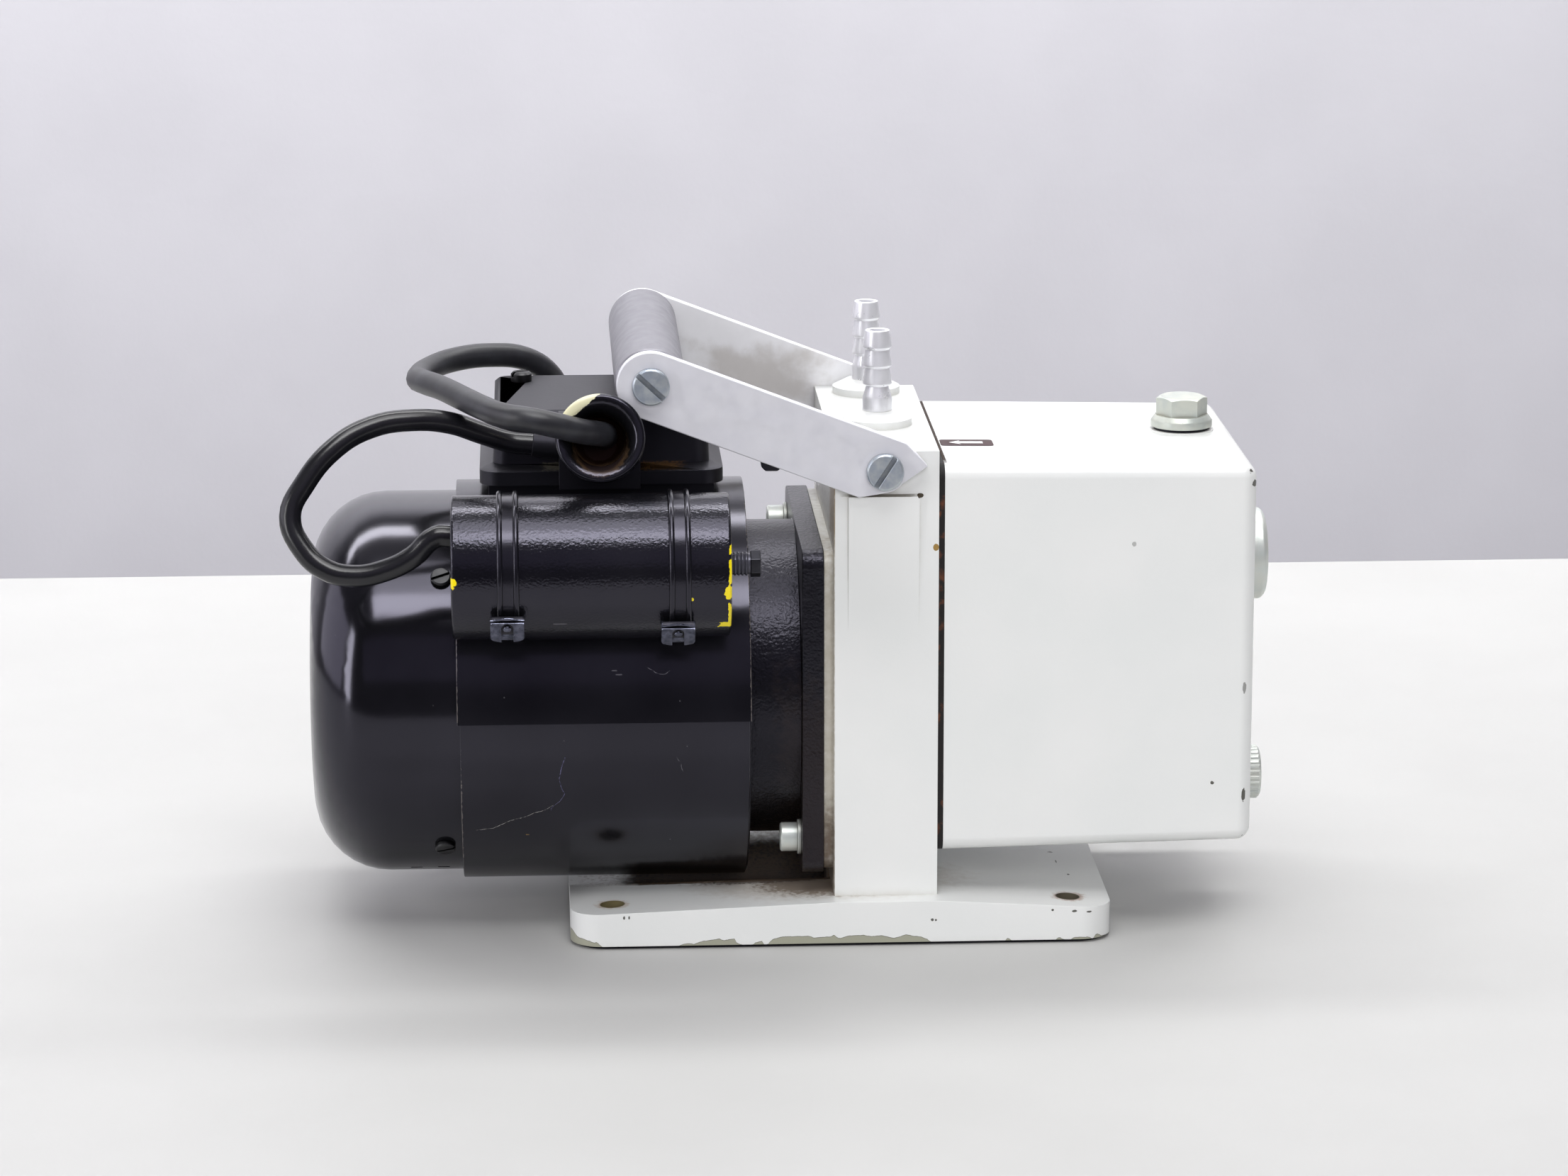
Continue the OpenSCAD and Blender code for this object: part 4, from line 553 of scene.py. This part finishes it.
# Cords
mainsCord = {
    "diameter": 8.5,
    "free": [
        (-79.4, -52.608, 175.972), (-79.8, -58.315, 177.926), (-82, -64.6, 179.6),
        (-88, -71.8, 182), (-96, -76.6, 185), (-104, -77.5, 187), (-113, -72, 187.5),
        (-120, -61, 188), (-127, -46, 188.5), (-135, -26, 188.5), (-141, -10, 187.5),
        (-143, 2, 186.5), (-140, 15, 187), (-131, 28, 188), (-118, 36, 188), (-106, 42, 185.5),
        (-98, 48, 179), (-94, 57, 169), (-93, 67, 154), (-94, 76, 134), (-97, 82, 108),
        (-100, 85, 80), (-104, 87, 54), (-108, 89, 32), (-111, 94, 16), (-112, 104, 8),
        (-112, 118, 5.65)],
    "coilCentre": (-56, 150), "coilRadius": 56, "pitch": 9.1, "turns": 4.25, "height": 5.65,
    "tail": 28, "pointsPerTurn": 24, "startAngle": 180,
}
capacitorLead = {
    "diameter": 7.5,
    "route": [
        (-103.901, -40.5, 171.441), (-110.862, -40.5, 172.172), (-121, -43.5, 176),
        (-131, -46, 180), (-144, -50, 182), (-158, -54, 180.5), (-170, -59, 174.5),
        (-180, -63.5, 163.5), (-185, -67, 153), (-181, -71, 143), (-173.5, -74, 136.5),
        (-164, -76, 134.5), (-153, -76.5, 136.5), (-144, -76.669, 141),
        (-136.3, -76.669, 147.674), (-131.3, -76.669, 147.674)],
}
cordSteps = 5  # of the mesh, along between two points and round a quarter


# A flat spiral in two layers: inwards on the table, up half-way, and outwards again
def coilRoute(facts):
    turns = facts["turns"]
    points = []
    for i in range(round(turns * facts["pointsPerTurn"]) + 1):
        t = i / facts["pointsPerTurn"]
        angle = math.radians(facts["startAngle"] - 360 * t)
        radius = facts["coilRadius"] - facts["pitch"] * min(t, turns - t)
        rise = facts["pitch"] * max(0, min(1, 2 * (t - turns / 2) + 0.5))
        points.append((facts["coilCentre"][0] + radius * math.cos(angle),
                       facts["coilCentre"][1] + radius * math.sin(angle), facts["height"] + rise))
    start, end = points[0], points[-1]
    return ([(start[0], start[1] - facts["diameter"], start[2])] + points
            + [(end[0] + facts["tail"], end[1], end[2])])


def placePiece(name, data, node):
    piece = bpy.data.objects.new(name, data)
    scene.collection.objects.link(piece)
    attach(piece, bodyOf[node])
    return piece


def makeCord(name, points, diameter, material, node):
    curve = bpy.data.curves.new(name, "CURVE")
    curve.dimensions = "3D"
    spline = curve.splines.new("BEZIER")
    spline.bezier_points.add(len(points) - 1)
    for bezier, point in zip(spline.bezier_points, points):
        bezier.co = Vector(point) * mm
        bezier.handle_left_type = bezier.handle_right_type = "AUTO"
    curve.resolution_u = curve.bevel_resolution = cordSteps
    curve.bevel_depth = diameter / 2 * mm
    curve.use_fill_caps = True
    curve.materials.append(material)
    return placePiece(name, curve, node)


mainsPiece = makeCord("mainsCord", mainsCord["free"] + coilRoute(mainsCord),
                      mainsCord["diameter"], greyCord, "mains_cord")
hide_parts("mains_cord", "mains_coil")
leadPiece = makeCord("capacitorLead", capacitorLead["route"], capacitorLead["diameter"],
                     blackCord, "capacitor_lead")
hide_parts("capacitor_lead")
print("cords laid")


# Pieces: smooth faces with creases above an angle in degrees, or flat ones
def newPiece(name, mesh, material, node, crease=None, smooth=True):
    for face in mesh.faces:
        face.smooth = smooth
    data = bpy.data.meshes.new(name)
    mesh.to_mesh(data)
    mesh.free()
    data.materials.append(material)
    if crease:
        data.set_sharp_from_angle(angle=math.radians(crease))
    return placePiece(name, data, node)


def addModifier(piece, kind, name, **settings):
    modifier = piece.modifiers.new(name, kind)
    for key, value in settings.items():
        setattr(modifier, key, value)


def closeMesh(mesh):
    bmesh.ops.remove_doubles(mesh, verts=mesh.verts, dist=1e-6)
    bmesh.ops.recalc_face_normals(mesh, faces=mesh.faces)


# Angles in degrees: faces closer than flat are joined, edges sharper than angle are rounded
dressing = {"merge": 0.01, "flat": 0.4, "angle": 38, "segments": 3}


# The CAD node's own shape with joined faces and its sharp edges rounded off
def dressNode(node, edge, share=None):
    first, *rest = node.split("_")
    name = ownName.get(node, first + "".join(word.capitalize() for word in rest))
    material = ownFinish.get(node, finishOf[slotOf[node]])
    angle = math.radians(dressing["angle"])
    mesh = bmesh.new()
    mesh.from_mesh(nodes[node].data)
    bmesh.ops.remove_doubles(mesh, verts=mesh.verts, dist=dressing["merge"] * mm)
    bmesh.ops.dissolve_limit(mesh, angle_limit=math.radians(dressing["flat"]), verts=mesh.verts,
                             edges=mesh.edges, use_dissolve_boundaries=False, delimit=set())
    for layer in list(mesh.loops.layers.float_vector):
        mesh.loops.layers.float_vector.remove(layer)
    if share:
        weights = mesh.edges.layers.float.new("bevel_weight_edge")
        for line in mesh.edges:
            if len(line.link_faces) == 2 and line.calc_face_angle() > angle:
                line[weights] = share((line.verts[0].co + line.verts[1].co) / 2 / mm)
    piece = newPiece(name, mesh, material, node)
    for attribute in [a.name for a in piece.data.attributes if "normal" in a.name]:
        piece.data.attributes.remove(piece.data.attributes[attribute])
    addModifier(piece, "BEVEL", "roundedEdges", width=edge * mm, segments=dressing["segments"],
                limit_method="WEIGHT" if share else "ANGLE", angle_limit=angle)
    addModifier(piece, "WEIGHTED_NORMAL", "evenShading", keep_sharp=True)
    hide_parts(node)
    return piece


baseEdges = {"rounding": 1.8, "holeAt": (78.5, 55), "holeReach": 6, "holeShare": 0.12,
             "troughAxis": 79.4, "troughReach": 74, "underside": 1.5, "lowShare": 0.3}


# Share of the full rounding that an edge of the base gets, by its middle in mm
def baseRounding(middle):
    holeX, holeY = baseEdges["holeAt"]
    if math.hypot(abs(middle.x) - holeX, abs(middle.y) - holeY) < baseEdges["holeReach"]:
        return baseEdges["holeShare"]
    trough = math.hypot(middle.y, middle.z - baseEdges["troughAxis"]) < baseEdges["troughReach"]
    return baseEdges["lowShare"] if trough or middle.z < baseEdges["underside"] else 1.0


# Rounding of each dressed node's edges, in mm
rounding = {
    "base_mat": 0.1, "mounting_block": 1.0, "inlet_barb": 0.2, "outlet_barb": 0.2,
    "oil_box_gasket": 0.3, "oil_box": 0.5, "oil_box_screws": 0.3, "filler_plug": 0.4,
    "sight_bezel": 0.5, "drain_plug": 0.2, "adaptor_bell": 1.2, "flange_screws": 0.4,
    "flange_washers": 0.2, "end_cap": 0.4, "end_cap_screws": 0.3, "terminal_tray": 0.6,
    "terminal_cover": 0.8, "cover_screws": 0.3, "cable_gland": 0.3, "lead_boot": 0.4,
    "capacitor_saddle": 0.5, "capacitor_nut": 0.3, "handle_arm_front": 0.5,
    "handle_arm_rear": 0.5, "handle_grip": 0.8, "grip_screws": 0.3, "pivot_screws": 0.3,
    "arm_buffer": 0.6, "coil_tie": 0.3, "mains_plug": 1.6,
}
# Names and finishes that don't follow from the node's own name and its slot
ownName = {
    "base_mat": "rubberMat", "inlet_barb": "frontHoseBarb", "outlet_barb": "rearHoseBarb",
    "oil_box_gasket": "boxGasket", "oil_box_screws": "boxScrews", "sight_bezel": "sightRing",
    "handle_arm_front": "frontArm", "handle_arm_rear": "rearArm", "handle_grip": "handGrip",
}
ownFinish = {
    "base_plate": whiteBase, "oil_box": whiteBox, "filler_plug": filledZinc,
    "end_cap": blackCap, "terminal_tray": blackTray, "terminal_cover": blackTray,
    "lead_boot": blackRubber, "capacitor_nut": wornNut, "handle_arm_rear": rearArmPaintedLighter,
    "grip_screws": blueZinc, "pivot_screws": blueZinc, "mains_plug": greyCord,
}
pieces = {node: dressNode(node, edge) for node, edge in rounding.items()}
pieces["base_plate"] = dressNode("base_plate", baseEdges["rounding"], baseRounding)
print("CAD shapes dressed:", len(pieces))


# Spins an outline of (X, radius) in mm about a line along X at (Y, Z)
def spinOutline(mesh, outline, centre, closed=True, steps=96):
    verts = [mesh.verts.new((x * mm, centre[0] * mm, (centre[1] + r) * mm)) for x, r in outline]
    ends = verts[1:] + (verts[:1] if closed else [])
    edges = [mesh.edges.new((a, b)) for a, b in zip(verts, ends)]
    bmesh.ops.spin(mesh, geom=verts + edges, cent=(0, centre[0] * mm, centre[1] * mm),
                   axis=(1, 0, 0), angle=2 * math.pi, steps=steps, dvec=(0, 0, 0), use_merge=True)


# Motor shell: a rolled sheet in two laps, the lower one set in by a hair
motorShell = {
    "axisHeight": 79.4, "left": -130.5, "right": -31.0, "radius": 70.0, "wall": 1.6,
    "seamAngle": 178.65,  # where the laps meet on the front, from +Y over the top
    "setIn": 0.7, "shift": (0.9, 0.54), "edge": 0.2,
    "spring": 0.8, "springAngle": 20,  # the upper lap's end stands off at the seam
    "steps": 96, "crease": 30,
}


def makeShell(facts):
    mesh = bmesh.new()
    for lower in (False, True):
        radius = facts["radius"] - (facts["setIn"] if lower else 0)
        left = facts["left"] + (facts["shift"][0] if lower else 0)
        right = facts["right"] - (facts["shift"][1] if lower else 0)
        inner = facts["radius"] - facts["wall"]
        start = math.radians(facts["seamAngle"] + (0 if lower else -180))
        corners = [(left, inner), (right, inner), (right, radius - facts["edge"]),
                   (right - facts["edge"], radius), (left + facts["edge"], radius),
                   (left, radius - facts["edge"])]
        verts = [mesh.verts.new((x * mm, r * math.cos(start) * mm,
                                 (facts["axisHeight"] + r * math.sin(start)) * mm))
                 for x, r in corners]
        end = mesh.faces.new(verts)
        bmesh.ops.spin(mesh, geom=[end, *end.edges, *verts], axis=(1, 0, 0), angle=math.pi,
                       cent=(0, 0, facts["axisHeight"] * mm), steps=facts["steps"],
                       dvec=(0, 0, 0), use_merge=False)
        if not lower:
            for vert in mesh.verts:
                y, z = vert.co.y / mm, vert.co.z / mm - facts["axisHeight"]
                before = facts["seamAngle"] - math.degrees(math.atan2(z, y))
                reach = 1 - before / facts["springAngle"]
                if reach > 0:
                    grown = 1 + facts["spring"] * min(reach, 1) ** 2 / facts["radius"]
                    vert.co.y, vert.co.z = y * grown * mm, (z * grown + facts["axisHeight"]) * mm
    closeMesh(mesh)
    piece = newPiece("motorShell", mesh, blackShell, "motor_shell", facts["crease"])
    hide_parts("motor_shell")


makeShell(motorShell)
print("motor shell rolled")

# Capacitor: a rolled can with crisp ends, a threaded stud and its thin tip
can = {
    "centre": (-76.669, 137.174), "left": -131.3, "length": 92.6, "radius": 24.0, "edge": 1.0,
    "thread": 4.0, "valley": 3.5, "pitch": 1.25, "crest": (0.4, 0.6), "threadLength": 7.0,
    "tip": 2.5, "tipLength": 3.4, "steps": 128, "crease": 30,
}


def makeCan(facts):
    left, radius, edge = facts["left"], facts["radius"], facts["edge"]
    right = left + facts["length"]
    outline = [(left, 0.0)]
    for angle in map(math.radians, (90, 67.5, 45, 22.5, 0)):  # rounded corner, from its end face
        outline.append((left + edge * (1 - math.sin(angle)), radius - edge * (1 - math.cos(angle))))
    outline += [(left + right - x, r) for x, r in reversed(outline[1:])]
    x, end = right, right + facts["threadLength"]
    outline.append((x, facts["valley"]))
    while x + facts["pitch"] < end:
        outline += [(x + facts["pitch"] * part, facts["thread"]) for part in facts["crest"]]
        outline.append((x + facts["pitch"], facts["valley"]))
        x += facts["pitch"]
    outline += [(end, facts["valley"]), (end, facts["tip"]),
                (end + facts["tipLength"], facts["tip"]), (end + facts["tipLength"], 0.0)]
    mesh = bmesh.new()
    spinOutline(mesh, outline, facts["centre"], False, facts["steps"])
    closeMesh(mesh)
    piece = newPiece("capacitorCan", mesh, blackCan, "capacitor", facts["crease"])
    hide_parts("capacitor")


makeCan(can)
print("capacitor rolled")

# Capacitor straps: a band with a round bead along each side
strap = {
    "centre": (-76.669, 137.174), "radius": 24.05, "thick": 0.6, "places": (-112.5, -55.7),
    "beadPitch": 5.4, "bead": 0.95, "beadOut": 0.75, "beadSteps": 8, "crease": 50,
}


def makeStraps(facts):
    mesh = bmesh.new()
    inner, outer = facts["radius"], facts["radius"] + facts["thick"]
    bead, steps = facts["bead"], facts["beadSteps"]
    for middle in facts["places"]:
        left, right = (middle + side * facts["beadPitch"] / 2 for side in (-1, 1))
        outline = [(left - bead, inner)]
        for beadAt in (left, right):
            for k in range(steps + 1):
                angle = math.pi * (1 - k / steps)
                outline.append((beadAt + bead * math.cos(angle),
                                outer + facts["beadOut"] * math.sin(angle)))
        outline.append((right + bead, inner))
        spinOutline(mesh, outline, facts["centre"])
    closeMesh(mesh)
    piece = newPiece("capacitorStraps", mesh, blackStrap, "capacitor_straps", facts["crease"])
    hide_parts("capacitor_straps")


makeStraps(strap)
print("straps wound")

# Strap buckles: a bent steel bracket with a notch, a rolled top edge and a screw in the notch.
# Points go across (X), down the strap (Y) and out of the can (Z).
buckle = {
    "centre": (-76.669, 137.174), "radius": 25.4, "places": (-112.9, -56.5), "angles": (217, 224),
    "half": 5.6, "top": -5.0, "low": 2.6, "foot": 4.9, "notch": 1.95, "notchTop": -2.6,
    "near": 2.6, "far": 4.2, "plate": 0.7, "corner": 1.5, "belly": 0.5, "edge": 0.15,
    "blocks": [  # low corner, high corner, rounding, material (0 steel, 1 dark)
        ((-5.6, -5.0, 0.2), (5.6, -4.4, 2.0), 0.15, 1),
        ((-5.6, -5.0, 0.0), (-4.9, 1.2, 3.5), 0.15, 0),
        ((4.9, -5.0, 0.0), (5.6, 1.2, 3.5), 0.15, 0),
        ((-2.3, 1.7, 1.4), (2.3, 4.9, 2.4), 0.4, 0),
        # the inner body: a black block as painted shade inside the bracket
        ((-4.6, -4.0, 0.0), (4.6, 2.6, 2.3), 0.1, 1)],
    "footBars": [[(-4.2, 2.6, 3.9), (-2.35, 2.6, 3.9)], [(2.35, 2.6, 3.9), (4.2, 2.6, 3.9)]],
    "footRadius": 0.55, "lipAt": (-5.15, 2.3), "lipBow": 1.1, "lipRadius": 0.4,
    "screw": 1.5, "screwHeight": 0.5, "screwAt": (0, -2.3, 3.6), "crease": 35,
}


def roundEdges(mesh, edges, offset, segments=2):
    bmesh.ops.bevel(mesh, geom=edges, offset=offset, offset_type="OFFSET", segments=segments,
                    profile=0.5, affect="EDGES", material=-1)


def addBlock(mesh, low, high, edge, slot):
    made = bmesh.ops.create_cube(mesh, size=1)["verts"]
    bmesh.ops.scale(mesh, vec=[b - a for a, b in zip(low, high)], verts=made)
    bmesh.ops.translate(mesh, vec=[(a + b) / 2 for a, b in zip(low, high)], verts=made)
    edges = list({line for vert in made for line in vert.link_edges})
    for face in {face for vert in made for face in vert.link_faces}:
        face.material_index = slot
    roundEdges(mesh, edges, edge)


# Extrudes a face by a vector and gives the new one
def pushFace(mesh, face, move):
    grown = bmesh.ops.extrude_face_region(mesh, geom=[face])["geom"]
    bmesh.ops.translate(mesh, vec=move,
                        verts=[g for g in grown if isinstance(g, bmesh.types.BMVert)])
    return next(g for g in grown if isinstance(g, bmesh.types.BMFace))


def addBar(mesh, points, radius, sides=10):
    ring = bmesh.ops.create_circle(mesh, cap_ends=True, radius=radius, segments=sides)["verts"]
    bmesh.ops.rotate(mesh, cent=(0, 0, 0), matrix=Matrix.Rotation(math.pi / 2, 3, "Y"), verts=ring)
    bmesh.ops.translate(mesh, vec=points[0], verts=ring)
    face = next(f for f in ring[0].link_faces if len(f.verts) == sides)
    for before, after in zip(points, points[1:]):
        face = pushFace(mesh, face, [b - a for a, b in zip(before, after)])


# Outline of the bracket's face: straight top, rounded corners, a bellied foot and a round notch
def buckleOutline(facts):
    half, top, low, corner = facts["half"], facts["top"], facts["low"], facts["corner"]
    notch, belly = facts["notch"], facts["belly"]
    right = [(half - corner * (1 - math.cos(a)), low - corner * (1 - math.sin(a)))
             for a in (math.pi * k / 8 for k in range(5))]
    foot = [(notch + (half - corner - notch) * part, low + belly * (1 - part ** 2))
            for part in (0.75, 0.5, 0.25, 0)]
    hole = [(notch * math.cos(a), facts["notchTop"] - notch * math.sin(a))
            for a in (math.pi * k / 10 for k in range(11))]
    left = [(-x, y) for x, y in reversed(right + foot)]
    return [(-half, top), (half, top)] + right + foot + hole + left


def makeBuckles(facts):
    whole = bmesh.new()
    half, top = facts["half"], facts["top"]
    slope = (facts["far"] - facts["near"]) / (facts["foot"] - top)
    for middle, turn in zip(facts["places"], facts["angles"]):
        mesh = bmesh.new()
        plate = mesh.faces.new([mesh.verts.new((x, y, facts["near"]))
                                for x, y in buckleOutline(facts)])
        pushFace(mesh, plate, (0, 0, facts["plate"]))
        for vert in mesh.verts:
            vert.co.z += slope * (vert.co.y - top)
        roundEdges(mesh, [e for e in mesh.edges if e.calc_face_angle(0) > 1], facts["edge"])
        for low, high, edge, slot in facts["blocks"]:
            addBlock(mesh, low, high, edge, slot)
        for points in facts["footBars"]:
            addBar(mesh, points, facts["footRadius"])
        lipY, lipZ = facts["lipAt"]
        addBar(mesh, [(half * (k / 6 - 1), lipY - facts["lipBow"] * math.sin(math.pi * k / 12) ** 2,
                       lipZ) for k in range(13)], facts["lipRadius"])
        dome = bmesh.ops.create_uvsphere(mesh, u_segments=20, v_segments=10,
                                         radius=facts["screw"])["verts"]
        bmesh.ops.scale(mesh, vec=(1, 1, facts["screwHeight"]), verts=dome)
        bmesh.ops.translate(mesh, vec=facts["screwAt"], verts=dome)
        angle = math.radians(turn)
        y, z = facts["centre"]
        out, down = (math.cos(angle), math.sin(angle)), (-math.sin(angle), math.cos(angle))
        place = Matrix(((mm, 0, 0, middle * mm),
                        (0, down[0] * mm, out[0] * mm, (y + facts["radius"] * out[0]) * mm),
                        (0, down[1] * mm, out[1] * mm, (z + facts["radius"] * out[1]) * mm),
                        (0, 0, 0, 1)))
        bmesh.ops.transform(mesh, matrix=place, verts=mesh.verts)
        bmesh.ops.recalc_face_normals(mesh, faces=mesh.faces)
        data = bpy.data.meshes.new("oneBuckle")
        mesh.to_mesh(data)
        mesh.free()
        whole.from_mesh(data)
        bpy.data.meshes.remove(data)
    piece = newPiece("strapBuckles", whole, buckleSteel, "strap_buckles", facts["crease"])
    # the second slot is black, for the dark blocks, among them the painted shade inside
    piece.data.materials.append(blackPlastic)
    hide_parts("strap_buckles")


makeBuckles(buckle)
print("buckles bent")

# Plain arrow label on top of the oil box, which slopes down to the right
label = {
    "centre": (45.4, -20.8, 166.2), "length": 18.2, "width": 10.2, "corner": 1.4, "thick": 0.15,
    "lift": 0.0825, "ink": 0.1, "slope": 0.0146, "boxStart": 35.0,
    "arrow": [(-6.0, 0), (-2.2, 3.0), (-2.9, 1.5), (5.6, 1.5), (5.6, -1.5), (-2.9, -1.5),
              (-2.2, -3.0)],
}


def makeLabel(facts):
    x, y, z = facts["centre"]
    top = z - facts["slope"] * (x - facts["boxStart"])
    lean = (Matrix.Translation((x * mm, y * mm, top * mm))
            @ Matrix.Rotation(math.atan(facts["slope"]), 4, "Y"))
    mesh = bmesh.new()
    bmesh.ops.create_cube(mesh, size=1)
    bmesh.ops.scale(mesh, vec=[facts[side] * mm for side in ("length", "width", "thick")],
                    verts=mesh.verts)
    upright = [e for e in mesh.edges if abs(e.verts[0].co.z - e.verts[1].co.z) > 1e-6]
    roundEdges(mesh, upright, facts["corner"] * mm, 5)
    bmesh.ops.translate(mesh, vec=(0, 0, facts["lift"] * mm), verts=mesh.verts)
    bmesh.ops.transform(mesh, matrix=lean, verts=mesh.verts)
    newPiece("arrowLabel", mesh, brownPrint, "oil_box", smooth=False)
    mesh = bmesh.new()
    face = mesh.faces.new([mesh.verts.new((px * mm, py * mm, facts["thick"] * mm))
                           for px, py in facts["arrow"]])
    pushFace(mesh, face, (0, 0, facts["ink"] * mm))
    bmesh.ops.recalc_face_normals(mesh, faces=mesh.faces)
    bmesh.ops.transform(mesh, matrix=lean, verts=mesh.verts)
    newPiece("labelArrow", mesh, whitePrint, "oil_box", smooth=False)


makeLabel(label)
print("label stuck on")

# Room: table, wall and soft lights. Sheets go by their corners, in metres.
room = {
    "tableTop": {"tones": ("#BBBBB9", "#BEBEBC"), "grain": [(1.2, 0.03)],
                 "corners": [(-3, -0.62, 0), (3, -0.62, 0), (3, 0.51, 0), (-3, 0.51, 0)]},
    "wall": {"tones": ("#D9D8DD", "#DDDCE1"), "grain": [(5, 0.1)],
             "corners": [(-4, 1.6, -2), (4, 1.6, -2), (4, 1.6, 3), (-4, 1.6, 3)]},
}
for name, facts in room.items():
    mesh = bmesh.new()
    mesh.faces.new([mesh.verts.new(corner) for corner in facts["corners"]])
    data = bpy.data.meshes.new(name)
    mesh.to_mesh(data)
    mesh.free()
    data.materials.append(makeFinish(name + "Paint", facts["tones"], 0.6, (90, 5.0),
                                     facts["grain"]))
    sheet = bpy.data.objects.new(name, data)
    scene.collection.objects.link(sheet)

lights = {
    # name: (place, looks at, size, power in watts, colour)
    "frontSoftbox": ((0.0, -0.87, 1.5), (0.0, -0.75, 0), (1.2, 0.45), 8.4, "#FFFFFF"),
    "frontShine": ((0.0, -0.87, 1.51), (0.0, -0.75, 0), (1.2, 0.45), 7.5, "#FFFFFF"),
    "ceilingPanel": ((0.0, -0.35, 1.5), (0.0, -0.35, 0), (1.1, 0.6), 6.6, "#FFFFFF"),
    "ceilingShine": ((0.0, -0.35, 1.51), (0.0, -0.35, 0), (1.1, 0.6), 1.4, "#FFFFFF"),
    "backCeiling": ((0.1, 0.45, 1.6), (0.1, 0.4, 0), (2.2, 0.9), 2, "#FFFFFF"),
    "tallWindow": ((-1.7, -0.98, 0.6), (-0.17, -0.03, 0.1), (0.3, 1.2), 9.5, "#FFFFFF"),
    "leftWall": ((-2.2, 0.1, 0.75), (0, 0, 0.15), (1.9, 1.3), 13, "#F6F3FF"),
    "darkRoom": ((0.1, -2.6, 1.4), (0, 0, 0.1), (4.0, 1.4), 4.6, "#D8CFF0"),
    "frontFill": ((0.3, -2.4, 1.0), (0, 0, 0.1), (1.6, 1.0), 28, "#FFFFFF"),
    "wallWash": ((0, 0.75, 1.7), (0, 1.6, 0.3), (3.2, 0.5), 56, "#FFFFFF"),
}
for name, (place, target, size, power, tint) in lights.items():
    lamp = bpy.data.lights.new(name, "AREA")
    lamp.shape = "RECTANGLE"
    lamp.size, lamp.size_y = size
    lamp.energy = power
    lamp.color = linear(tint)[:3]
    obj = bpy.data.objects.new(name, lamp)
    obj.location = place
    obj.rotation_euler = (Vector(target) - Vector(place)).to_track_quat("-Z", "Y").to_euler()
    obj.visible_glossy = name != "frontFill"  # lights the fronts without showing in the enamel
    obj.visible_diffuse = not name.endswith("Shine")  # shows in the enamel only
    scene.collection.objects.link(obj)
surround = {"Color": linear("#C6C0D2"), "Strength": 0.14}
world = bpy.data.worlds.new("paleRoom")
world.use_nodes = True
for socket, value in surround.items():
    world.node_tree.nodes["Background"].inputs[socket].default_value = value
scene.world = world
scene.view_settings.view_transform = "Standard"
print("room lit")
